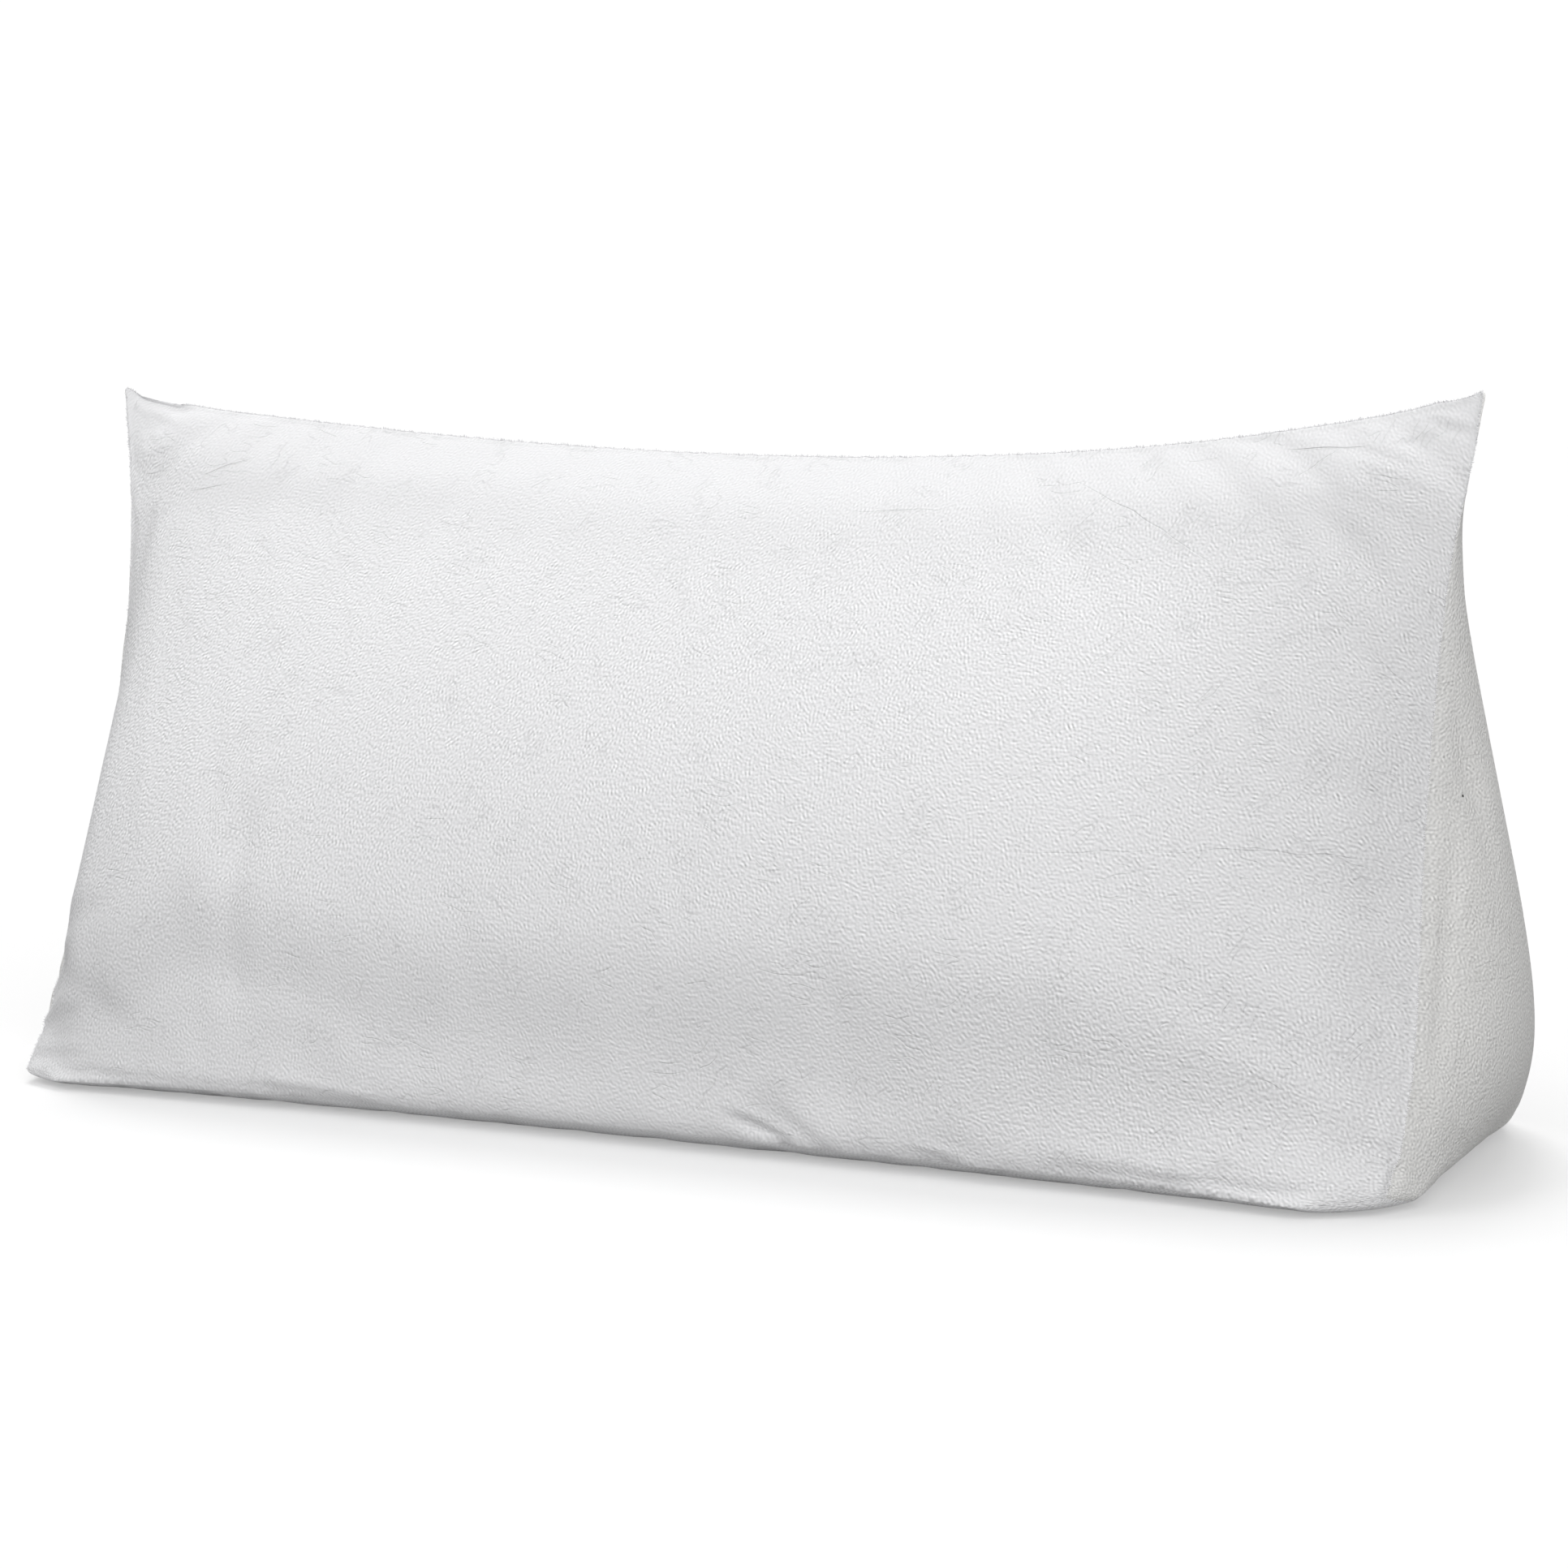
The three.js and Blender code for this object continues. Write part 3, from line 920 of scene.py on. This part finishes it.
smooth_cloth = cloth_tree(mesh)
for panel, folds in SMALL_FOLDS.items():
    for start, end, *sizes in folds:
        ends = [find_on_cloth(smooth_cloth, panel, place) for place in (start, end)]
        relief += small_fold(points, *ends, *(size * MM for size in sizes))

# What rests on the floor stays flat
off_floor = smoothstep(points[:, 2], 0, REST_HEIGHT)
points = points + normals_of(mesh) * (relief * off_floor)[:, None]
points[:, 2] = np.maximum(points[:, 2], 0)
move_points(mesh, points)
print(sum(len(folds) for folds in SMALL_FOLDS.values()), "small folds placed")

# %% [markdown]
# ## Materials: shared groups
#
# Plush has no weave to see, only pile. Its fibres clump into tiny strokes, a few millimetres long
# and about as far apart, that all lean the way the cloth was last brushed. That fine, even
# grain is the whole look of the cloth, so it is built with care and there are no large blotches.
#
# Gabor noise is made for this. It scatters small wave packets that all run in one direction, and
# the direction may change from place to place without stretching the pattern. Noise read in bent
# coordinates would be stretched.
#
# Heights are in millimetres all through: the Bump node's distance is set to one millimetre, so a
# height of 0.3 means 0.3 mm.

# %% Helpers to build node trees
def new_group(name, kind, inputs, outputs):
    """An empty node group. A socket is given by its default, or by its type if it has none."""
    tree = bpy.data.node_groups.new(name, kind)
    for direction, sockets in (("INPUT", inputs), ("OUTPUT", outputs)):
        for label, given in sockets.items():
            typed = isinstance(given, str)
            ending = given if typed else "Vector" if isinstance(given, tuple) else "Float"
            socket = tree.interface.new_socket(
                label, in_out=direction, socket_type="NodeSocket" + ending
            )
            if not typed:
                socket.default_value = given
    return tree, tree.nodes.new("NodeGroupInput").outputs, tree.nodes.new("NodeGroupOutput")


def give(tree, node, inputs):
    """Gives the node its inputs, as values or as sockets to link."""
    for key, value in dict(inputs).items():
        if isinstance(value, bpy.types.NodeSocket):
            tree.links.new(value, node.inputs[key])
        else:
            node.inputs[key].default_value = value
    return node


def add_node(tree, kind, settings=(), inputs=()):
    made = tree.nodes.new(kind)
    for key, value in dict(settings).items():
        setattr(made, key, value)
    return give(tree, made, inputs)


def math_node(tree, operation, *values):
    inputs = dict(enumerate(values))
    return add_node(tree, "ShaderNodeMath", {"operation": operation}, inputs).outputs[0]


def parts_of(tree, vector):
    return add_node(tree, "ShaderNodeSeparateXYZ", (), {"Vector": vector}).outputs


def vector_of(tree, **parts):
    return add_node(tree, "ShaderNodeCombineXYZ", (), parts).outputs[0]


def mix_node(tree, kind, factor, first, second):
    inputs = {"Factor": factor, "A": first, "B": second}
    return add_node(tree, "ShaderNodeMix", {"data_type": kind}, inputs).outputs["Result"]


def vector_node(tree, operation, first, second):
    """Vector maths; a number as the second value is a scale."""
    key = "Scale" if operation == "SCALE" else 1
    made = add_node(tree, "ShaderNodeVectorMath", {"operation": operation}, {0: first, key: second})
    return made.outputs["Value" if operation in ("DISTANCE", "DOT_PRODUCT") else "Vector"]


def remap(tree, value, low, high, to_low=0.0, to_high=1.0):
    """The value moved smoothly from one range to another, and held at its ends."""
    inputs = {
        "Value": value, "From Min": low, "From Max": high, "To Min": to_low, "To Max": to_high,
    }
    made = add_node(tree, "ShaderNodeMapRange", {"interpolation_type": "SMOOTHSTEP"}, inputs)
    return made.outputs["Result"]


def noise_node(tree, place, scale, detail, dimensions="2D", output="Fac"):
    return add_node(
        tree, "ShaderNodeTexNoise", {"noise_dimensions": dimensions},
        {"Vector": place, "Scale": scale, "Detail": detail, "Roughness": 0.5},
    ).outputs[output]


def new_material(name):
    """A new material with its node tree and its shader."""
    made = bpy.data.materials.new(name)
    made.use_nodes = True
    return made, made.node_tree, made.node_tree.nodes["Principled BSDF"]


# %% Brushed strokes
def build_pile_group():
    """Tiny strokes of pile along the direction in which the cloth was brushed."""
    tree, given, result = new_group(
        "brushed_pile", "ShaderNodeTree",
        {
            "Nap": "Vector", "Brushed": 1.0, "Stroke Gap": 0.0026, "Gaps in a Clump": 2.4,
            "Evenness": 0.5,
        },
        {"Stroke": "Float"},
    )
    clump = math_node(tree, "MULTIPLY", given["Stroke Gap"], given["Gaps in a Clump"])
    across = math_node(tree, "ADD", given["Brushed"], math.pi / 2)
    waves = add_node(
        tree, "ShaderNodeTexGabor", {"gabor_type": "2D"},
        {
            "Vector": given["Nap"], "Scale": math_node(tree, "DIVIDE", 1.0, clump),
            "Frequency": given["Gaps in a Clump"], "Anisotropy": given["Evenness"],
            "Orientation 2D": across,
        },
    )
    give(tree, result, {"Stroke": waves.outputs["Value"]})
    return tree


pile_group = build_pile_group()


# %% Short wrinkles
WRINKLE_FADE = 0.12


def off_middle(tree, value):
    """How far a noise is from its middle value."""
    return math_node(tree, "ABSOLUTE", math_node(tree, "SUBTRACT", value, 0.5))


def build_wrinkle_group():
    """Rare short wrinkles: level lines of a stretched noise, shown only where a slow noise is far
    from its middle. Where it is high they turn one way, and where it is low the other."""
    tree, given, result = new_group(
        "short_wrinkles", "ShaderNodeTree",
        {
            "Nap": "Vector", "Turn Low": -0.1, "Turn High": 1.0, "Reach": (0.026, 0.010, 1.0),
            "Patch": 0.034, "Rareness": 0.13, "Thinness": 0.045,
        },
        {"Wrinkle": "Float"},
    )
    patch = noise_node(tree, given["Nap"], math_node(tree, "DIVIDE", 1.0, given["Patch"]), 0.0)
    high = math_node(tree, "GREATER_THAN", patch, 0.5)
    turn = vector_of(tree, Z=remap(tree, high, 0.0, 1.0, given["Turn Low"], given["Turn High"]))
    turned = add_node(
        tree, "ShaderNodeMapping", {"vector_type": "TEXTURE"},
        {"Vector": given["Nap"], "Rotation": turn, "Scale": given["Reach"]},
    ).outputs[0]
    level = off_middle(tree, noise_node(tree, turned, 1.0, 1.0))
    line = remap(tree, level, 0.0, given["Thinness"], 1.0, 0.0)
    full = math_node(tree, "ADD", given["Rareness"], WRINKLE_FADE)
    shown = remap(tree, off_middle(tree, patch), given["Rareness"], full)
    give(tree, result, {"Wrinkle": math_node(tree, "MULTIPLY", line, shown)})
    return tree


wrinkle_group = build_wrinkle_group()


# %% Fine creases
def build_crease_group():
    """A thin line pressed into the cloth: a round dip, squeezed until it is a line.

    Place holds the flat coordinates and a 1, so that each dot product both turns and moves."""
    tree, given, result = new_group(
        "fine_crease", "ShaderNodeTree",
        {"Place": "Vector", "Along": "Vector", "Beside": "Vector", "Depth": 1.0, "Others": 0.0},
        {"Crease": "Float"},
    )
    along = vector_node(tree, "DOT_PRODUCT", given["Place"], given["Along"])
    beside = vector_node(tree, "DOT_PRODUCT", given["Place"], given["Beside"])
    squared = math_node(tree, "MULTIPLY", along, along)
    squared = math_node(tree, "MULTIPLY_ADD", beside, beside, squared)
    dip = math_node(tree, "SUBTRACT", given["Depth"], squared)
    give(tree, result, {"Crease": math_node(tree, "MAXIMUM", given["Others"], dip)})
    return tree


crease_group = build_crease_group()
print("groups:", [group.name for group in bpy.data.node_groups])

# %% [markdown]
# ## The plush itself
#
# The strokes are painted into the colour as painted shade between the pile's clumps, and a plain grain
# of the same size gives it relief. Gabor noise is slow, and relief would read it three times more.
#
# The strokes run up to the right at the left end of the front and turn over to the left towards the
# right end, sooner near the floor than near the ridge. The strokes, with their painted shade, are
# weaker close to the ridge, where the light is brightest, and low on the left; under the ears they
# keep their strength. The gussets were hardly brushed, so their grain is rounder. The colour is also
# painted a little darker towards the front's right end and low on the left, as painted shade, and a
# little darker all over the gussets, as painted shade of the sides.
#
# The fine creases are real places on the cloth: a ray finds each end, and the surface between
# them says how the crease lies. Two sets of rare short wrinkles fill in between.

# %% Place the fine creases
# Each crease on the front: its start, its end, its width and its depth
CREASES = (
    ((-421, 424), (-378, 440), 2.2, 0.7),
    ((-428, 414), (-395, 419), 1.8, 0.5),
    ((84, 408), (154, 410), 1.8, 0.5),
    ((374, 449), (430, 452), 2.2, 0.8),
    ((226, 434), (350, 376), 2.0, 0.35),
    ((380, 431), (412, 452), 2.2, 0.4),
    ((254, 207), (346, 212), 2.2, 0.35),
    ((330, 210), (472, 205), 2.4, 0.4),
)
CREASE_SHARE = 0.35
PANEL_SPACING = 3.0


def flat_place(tree, place):
    """Where a place of the front lies on the flat cloth, with the panels spaced apart."""
    point = Vector(find_on_cloth(tree, "front", place))
    face = mesh.polygons[tree.find_nearest(point)[2]]
    corners = [mesh.vertices[index].co for index in face.vertices]
    shares = poly_3d_calc(corners, point)
    naps = [Vector(mesh.attributes["nap"].data[index].vector) for index in face.loop_indices]
    nap = sum((share * value for share, value in zip(shares, naps)), Vector())
    return np.array([nap.x + PANEL_SPACING * nap.z, nap.y])


def across_line(direction, middle, reach):
    """Numbers for a dot product: how far along this direction a place is from the middle."""
    scaled = direction / reach
    return (scaled[0], scaled[1], -scaled @ middle)


def lie_of_crease(tree, start, end, width, depth):
    """A crease's inputs on the flat cloth, from its two ends."""
    first, last = flat_place(tree, start), flat_place(tree, end)
    length = np.linalg.norm(last - first)
    direction = (last - first) / length
    beside = np.array([-direction[1], direction[0]])
    middle = (first + last) / 2
    edge = math.sqrt(depth)
    return {
        "Along": across_line(direction, middle, length / 2 / edge),
        "Beside": across_line(beside, middle, CREASE_SHARE * width * MM / edge),
        "Depth": depth,
    }


cloth_shape = cloth_tree(mesh)
crease_lies = [lie_of_crease(cloth_shape, *row) for row in CREASES]
print(len(crease_lies), "creases placed on the flat cloth")

# %% Build the plush material
PAINTED_STROKE_SHADE = 0.75
GRAIN = {"size": 2.4 * MM, "height": 0.9}
WRINKLE_DEPTH = 0.24
# Painted shade: how much darker the colour is painted in the wrinkles, besides their relief
WRINKLE_PAINTED_SHADE = 0.05
CREASE_DEPTH = 1.0
CREASE_WAVE = {"scale": 45.0, "width": 3.5 * MM}
MATT = {"Roughness": 0.92, "Specular IOR Level": 0.2}
SHEEN = {"Sheen Weight": 0.08, "Sheen Roughness": 0.5}
PLUSH_COLOR = (0.812, 0.812, 0.822)
# The gussets are the same cloth, painted a little darker and warmer as painted shade of the sides
GUSSET_SHADED_COLOR = (0.792, 0.788, 0.775)
GUSSET_EVENNESS = (0.5, 0.1)
# Each patch of painted shade: where it begins and is full across, where it begins and is full on the
# way up, where it is last full and ends, and how dark it gets
PAINTED_SHADE_ENDS = (
    (0.26, 0.47, -0.10, 0.28, 0.39, 0.46, 0.90),
    (-0.28, -0.46, -0.02, 0.00, 0.12, 0.24, 0.90),
)
BRUSHED = {"over": (-0.42, 0.36), "angles": (40, 145), "slant": 1.4, "wander": 40}
WANDER_SIZE = 70 * MM
# The strokes' strength, for their painted shade and their relief: two places, and the values at them
NEAR_RIDGE = (0.35, 0.455, 1.0, 0.34)
BY_EARS = (0.37, 0.45, 0.0, 1.0)
BELOW_TIPS = (0.435, 0.47, 0.85, 0.0)
LEFTNESS = (0.05, 0.42, 1.0, 0.0)
LOWNESS = (0.10, 0.20, 1.0, 0.0)
LOW_LEFT_STRENGTH = 0.62
FIRST_GUSSET = 2.5
FLECK_PLACE = ("right", (-50, 242))
FLECK_SIZE = 1.1 * MM
FLECK_CORE = 0.6
FLECK_COLOR = (0.02, 0.02, 0.02, 1.0)


def add_group(tree, group, inputs):
    return add_node(tree, "ShaderNodeGroup", {"node_tree": group}, inputs).outputs[0]


def pile_strength(tree, position):
    """Weak near the ridge except by the ears, full in the middle, softer again low on the left."""
    place = parts_of(tree, position)
    strength = remap(tree, place["Z"], *NEAR_RIDGE)
    by_ears = remap(tree, math_node(tree, "ABSOLUTE", place["X"]), *BY_EARS)
    by_ears = math_node(tree, "MULTIPLY", by_ears, remap(tree, place["Z"], *BELOW_TIPS))
    strength = math_node(tree, "MAXIMUM", strength, by_ears)
    leftness = remap(tree, place["X"], *LEFTNESS)
    lowness = remap(tree, place["Z"], *LOWNESS)
    low_left = math_node(tree, "MULTIPLY", leftness, lowness)
    softened = math_node(tree, "MULTIPLY_ADD", low_left, LOW_LEFT_STRENGTH - 1, 1.0)
    return math_node(tree, "MULTIPLY", strength, softened)


def brushed_direction(tree, nap):
    """The angle of the strokes on the flat panel, in radians, with a slow wander."""
    place = parts_of(tree, nap)
    turning = math_node(tree, "MULTIPLY_ADD", place["Y"], -BRUSHED["slant"], place["X"])
    angle = remap(tree, turning, *BRUSHED["over"], *map(math.radians, BRUSHED["angles"]))
    slow = noise_node(tree, nap, 1 / WANDER_SIZE, 1.0, "3D")
    slow = math_node(tree, "SUBTRACT", slow, 0.5)
    return math_node(tree, "MULTIPLY_ADD", slow, math.radians(BRUSHED["wander"]) * 2, angle)


def painted_shade_at_ends(tree, position, on_gusset):
    """Painted shade: the colour a little darker towards the ends of the front, as far as its rows
    reach.
    """
    place = parts_of(tree, position)
    shade = 1.0
    for out, full_out, low, full_low, full_high, high, darkest in PAINTED_SHADE_ENDS:
        outward = remap(tree, place["X"], out, full_out)
        rising = remap(tree, place["Z"], low, full_low)
        falling = remap(tree, place["Z"], full_high, high, darkest - 1, 0.0)
        level = math_node(tree, "MULTIPLY", rising, falling)
        shade = math_node(tree, "MULTIPLY_ADD", outward, level, shade)
    return math_node(tree, "MAXIMUM", shade, on_gusset)


def add_up(tree, base, amounts):
    """base plus each value times its factor."""
    for value, factor in amounts:
        base = math_node(tree, "MULTIPLY_ADD", value, factor, base)
    return base


def plush_material(name):
    made, tree, shader = new_material(name)
    position = add_node(tree, "ShaderNodeTexCoord").outputs["Object"]
    nap = add_node(tree, "ShaderNodeAttribute", {"attribute_name": "nap"}).outputs["Vector"]
    number = parts_of(tree, nap)["Z"]
    on_gusset = math_node(tree, "GREATER_THAN", number, FIRST_GUSSET)
    spacing = vector_of(tree, X=math_node(tree, "MULTIPLY", number, PANEL_SPACING))
    flat = vector_node(tree, "ADD", nap, spacing)

    stroke = add_group(tree, pile_group, {
        "Nap": flat,
        "Brushed": brushed_direction(tree, nap),
        "Evenness": remap(tree, on_gusset, 0.0, 1.0, *GUSSET_EVENNESS),
    })
    strength = pile_strength(tree, position)
    lively = math_node(tree, "MULTIPLY", math_node(tree, "SUBTRACT", stroke, 0.5), strength)
    grain = noise_node(tree, flat, 1 / GRAIN["size"], 0.0)
    grain = math_node(tree, "MULTIPLY", grain, strength)
    wrinkle = add_group(tree, wrinkle_group, {"Nap": flat})

    wavy = noise_node(tree, flat, CREASE_WAVE["scale"], 0.0, output="Color")
    wavy = vector_node(tree, "SUBTRACT", wavy, (0.5, 0.5, 0.5))
    wavy = vector_node(tree, "SCALE", wavy, CREASE_WAVE["width"])
    bent = parts_of(tree, vector_node(tree, "ADD", flat, wavy))
    place = vector_of(tree, X=bent["X"], Y=bent["Y"], Z=1.0)
    crease = 0.0
    for lie in crease_lies:
        crease = add_group(tree, crease_group, {"Place": place, "Others": crease, **lie})

    # Painted shade towards the front's right end and low on the left
    lean = painted_shade_at_ends(tree, position, on_gusset)
    # Painted shade: the strokes darken and lighten the colour between the pile's clumps
    shade = add_up(tree, lean, ((lively, PAINTED_STROKE_SHADE), (wrinkle, -WRINKLE_PAINTED_SHADE)))
    # The plush's own colour, with painted shade on the gussets
    colour_and_side_shade = mix_node(tree, "VECTOR", on_gusset, PLUSH_COLOR, GUSSET_SHADED_COLOR)
    fleck = vector_node(tree, "DISTANCE", position, find_on_cloth(cloth_shape, *FLECK_PLACE))
    fleck = remap(tree, fleck, FLECK_SIZE * FLECK_CORE, FLECK_SIZE, 1.0, 0.0)
    color = mix_node(tree, "RGBA", fleck, vector_node(tree, "SCALE", colour_and_side_shade, shade), FLECK_COLOR)

    height = add_up(
        tree, 0.0, ((grain, GRAIN["height"]), (wrinkle, -WRINKLE_DEPTH), (crease, -CREASE_DEPTH))
    )
    relief = {"Height": height, "Distance": MM, "Strength": 1.0}
    normal = add_node(tree, "ShaderNodeBump", (), relief).outputs["Normal"]
    give(tree, shader, {"Base Color": color, "Normal": normal, **MATT, **SHEEN})
    return made


plush = plush_material("white_plush")
mesh.materials.clear()
mesh.materials.append(plush)
print("the plush has", len(plush.node_tree.nodes), "nodes")

# %% [markdown]
# ## Pile caught in the seams
#
# Where two panels are sewn together, fibres caught between them stand up along the seam as a thin,
# slightly uneven line, and their colour is painted a little brighter than the cloth as a painted
# highlight. Thousands of tiny tufts would be tedious to place by hand, so Geometry Nodes sets them
# out: the seam edges become curves, the curves get evenly spaced points, and each point gets a tuft
# that leans at random away from the cloth. The result is turned into a plain mesh.

# %% Draw the seams as edges
SEAM_PAIRS = [
    {"front", "back"}, {"front", "right"}, {"front", "left"}, {"back", "right"}, {"back", "left"},
]


def seam_lines(mesh, seams):
    """A mesh of the seams' edges alone, whose points know the cloth's outward direction."""
    keys = [key for key, pair in seams.items() if set(pair) in SEAM_PAIRS]
    used = sorted({corner for key in keys for corner in key})
    new_index = {corner: number for number, corner in enumerate(used)}
    lines = bpy.data.meshes.new("seam_pile")
    edges = [(new_index[start], new_index[end]) for start, end in keys]
    lines.from_pydata(points_of(mesh)[used].tolist(), edges, [])
    store(lines, "outward", "FLOAT_VECTOR", "POINT", normals_of(mesh)[used])
    return lines


seam_pile = add_object("seam_pile", seam_lines(mesh, seams))
print(len(seam_pile.data.edges), "edges carry caught pile")

# %% Plant the tufts
TUFT_SPACING = 1.2 * MM
TUFT_RADIUS = 0.55 * MM
TUFT_HEIGHT = 1.7 * MM
TUFT_LEAN = 0.75
TUFT_SIDES = 4
TUFT_SIZES = ((0.7, 0.7, 0.5), (1.3, 1.3, 1.3))
TUFT_SEED = 7
# The caught pile is real, and its colour is painted brighter than the cloth as a painted highlight
SEAM_PILE_HIGHLIGHT_COLOR = (0.86, 0.86, 0.87, 1.0)


def seam_pile_material():
    made, tree, shader = new_material("seam_pile")
    give(tree, shader, {"Base Color": SEAM_PILE_HIGHLIGHT_COLOR, **MATT})
    return made


def random_vector(tree, low, high, seed):
    inputs = {0: low, 1: high, "Seed": seed}
    settings = {"data_type": "FLOAT_VECTOR"}
    return add_node(tree, "FunctionNodeRandomValue", settings, inputs).outputs[0]


def tuft_nodes(material):
    """Edges in, tufts along them out."""
    tree, given, result = new_group(
        "tufts_along_seams", "GeometryNodeTree",
        {"Geometry": "Geometry", "Spacing": TUFT_SPACING, "Height": TUFT_HEIGHT},
        {"Geometry": "Geometry"},
    )
    curve = add_node(tree, "GeometryNodeMeshToCurve", (), {"Mesh": given["Geometry"]})
    even = add_node(
        tree, "GeometryNodeResampleCurve", {"mode": "LENGTH"},
        {"Curve": curve.outputs[0], "Length": given["Spacing"]},
    )
    tuft = add_node(
        tree, "GeometryNodeMeshCone", {"fill_type": "TRIANGLE_FAN"},
        {"Vertices": TUFT_SIDES, "Radius Bottom": TUFT_RADIUS, "Depth": given["Height"]},
    )
    outward = add_node(
        tree, "GeometryNodeInputNamedAttribute", {"data_type": "FLOAT_VECTOR"}, {"Name": "outward"}
    )
    upright = add_node(
        tree, "FunctionNodeAlignRotationToVector", {"axis": "Z"}, {"Vector": outward.outputs[0]}
    )
    lean = random_vector(
        tree, (-TUFT_LEAN, -TUFT_LEAN, 0), (TUFT_LEAN, TUFT_LEAN, math.tau), TUFT_SEED
    )
    leaning = add_node(
        tree, "FunctionNodeRotateRotation", {"rotation_space": "LOCAL"},
        {"Rotation": upright.outputs[0], "Rotate By": lean},
    )
    size = random_vector(tree, *TUFT_SIZES, TUFT_SEED + 1)
    planted = add_node(
        tree, "GeometryNodeInstanceOnPoints", (),
        {"Points": even.outputs[0], "Instance": tuft.outputs["Mesh"],
         "Rotation": leaning.outputs[0], "Scale": size},
    )
    real = add_node(tree, "GeometryNodeRealizeInstances", (), {"Geometry": planted.outputs[0]})
    dressed = add_node(
        tree, "GeometryNodeSetMaterial", (), {"Geometry": real.outputs[0], "Material": material}
    )
    give(tree, result, {"Geometry": dressed.outputs[0]})
    return tree


pile_modifier = seam_pile.modifiers.new("tufts", "NODES")
pile_modifier.node_group = tuft_nodes(seam_pile_material())
finish_modifiers(seam_pile).name = "seam_pile"
low_points = points_of(seam_pile.data)
low_points[:, 2] = np.maximum(low_points[:, 2], 0)
move_points(seam_pile.data, low_points)
print(len(seam_pile.data.polygons), "faces of caught pile")

# %% [markdown]
# ## Floor and light
#
# A white product photo has a floor and a background that are both blown out to white, yet the
# pillow's front falls off gently to a soft grey near the floor. A floor as white as it looks would
# fill those shadows. Retouched photos don't obey that, and neither does this floor: a Light Path
# node gives it one grey for the camera and a darker one for the light that bounces off it. Right
# under the cloth the bounce is stronger, or the edge would go black. The ray's length tells how
# near the cloth is. The camera also sees a faint glow in the floor, as on a light table, which
# keeps the shadows on it soft and pale.
#
# The lights are suns with wide angles, so they stay even over the whole floor, with soft edges.

# %% Lay the floor
FLOOR_SIDE = 60.0
FLOOR_SHOWN = 0.61
FLOOR_GLOW = 0.35
# Two lengths of a ray, and the paper's grey at them
FLOOR_BOUNCE = (0.01, 0.07, 0.65, 0.30)


def floor_paper():
    """Paper that looks white and throws back less light than it shows."""
    paper, tree, shader = new_material("white_paper")
    # Only the camera sees the glow, so no lamp is made of it
    paper.cycles.emission_sampling = "NONE"
    path = add_node(tree, "ShaderNodeLightPath").outputs
    seen = path["Is Camera Ray"]
    bounce = remap(tree, path["Ray Length"], *FLOOR_BOUNCE)
    give(tree, shader, {
        "Base Color": mix_node(tree, "FLOAT", seen, bounce, FLOOR_SHOWN),
        "Emission Strength": math_node(tree, "MULTIPLY", seen, FLOOR_GLOW),
        "Emission Color": (1.0, 1.0, 1.0, 1.0),
        "Roughness": 1.0,
        "Specular IOR Level": 0.0,
    })
    return paper


def make_floor():
    half = FLOOR_SIDE / 2
    corners = [(-half, -half, 0), (half, -half, 0), (half, half, 0), (-half, half, 0)]
    plane = bpy.data.meshes.new("floor")
    plane.from_pydata(corners, [], [(0, 1, 2, 3)])
    plane.materials.append(floor_paper())
    return add_object("floor", plane)


floor = make_floor()
floor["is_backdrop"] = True

# %% Light it with soft suns
# Each sun's name, the direction towards it, its spread in degrees and its strength
SUNS = (
    ("behind", (0.00, 0.56, 0.83), 25, 0.70),
    ("over_the_back_left", (-0.26, 0.30, 0.92), 25, 1.20),
    ("front_left", (-0.50, -0.40, 0.77), 30, 0.40),
    ("front_right", (0.45, -0.50, 0.70), 70, 1.16),
    ("low_front_left", (-0.60, -0.70, 0.35), 60, 0.85),
    ("low_front_right", (0.60, -0.70, 0.35), 60, 0.52),
    ("lowest_front_right", (0.60, -0.70, 0.15), 30, 0.50),
    ("lowest_right", (0.95, -0.10, 0.15), 30, 0.12),
)
BACKGROUND_SHOWN = 1.05
BACKGROUND_LIGHT = 0.02


def make_world():
    """White behind the pillow, but almost no light of its own."""
    world = bpy.data.worlds.new("studio")
    world.use_nodes = True
    tree = world.node_tree
    tree.nodes.clear()
    seen = add_node(tree, "ShaderNodeLightPath").outputs["Is Camera Ray"]
    strength = remap(tree, seen, 0.0, 1.0, BACKGROUND_LIGHT, BACKGROUND_SHOWN)
    background = add_node(
        tree, "ShaderNodeBackground", (), {"Color": (1, 1, 1, 1), "Strength": strength}
    )
    add_node(tree, "ShaderNodeOutputWorld", (), {"Surface": background.outputs[0]})
    bpy.context.scene.world = world


def make_sun(name, towards, spread, strength):
    lamp = bpy.data.lights.new(name, "SUN")
    lamp.angle = math.radians(spread)
    lamp.energy = strength
    holder = add_object(name, lamp)
    holder.rotation_euler = Vector(towards).to_track_quat("Z", "Y").to_euler()


make_world()
for sun in SUNS:
    make_sun(*sun)
bpy.context.scene.view_settings.view_transform = "Standard"
print(len(SUNS), "suns, together", round(sum(strength for *_, strength in SUNS), 2))

# %% [markdown]
# ## Attach to the body
#
# The cover rides on the model's one body and stands for the plain solid. The last lines measure the
# visible box and print how far it differs from the solid's.

for piece in (cover, seam_pile):
    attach(piece, BODY)
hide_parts(NODE)

visual_box = [list(corner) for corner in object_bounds()]
growth = (np.array(visual_box) - np.array(cad_box)) / MM
print("the visible box differs from the solid's by", growth.round(1).tolist(), "mm")
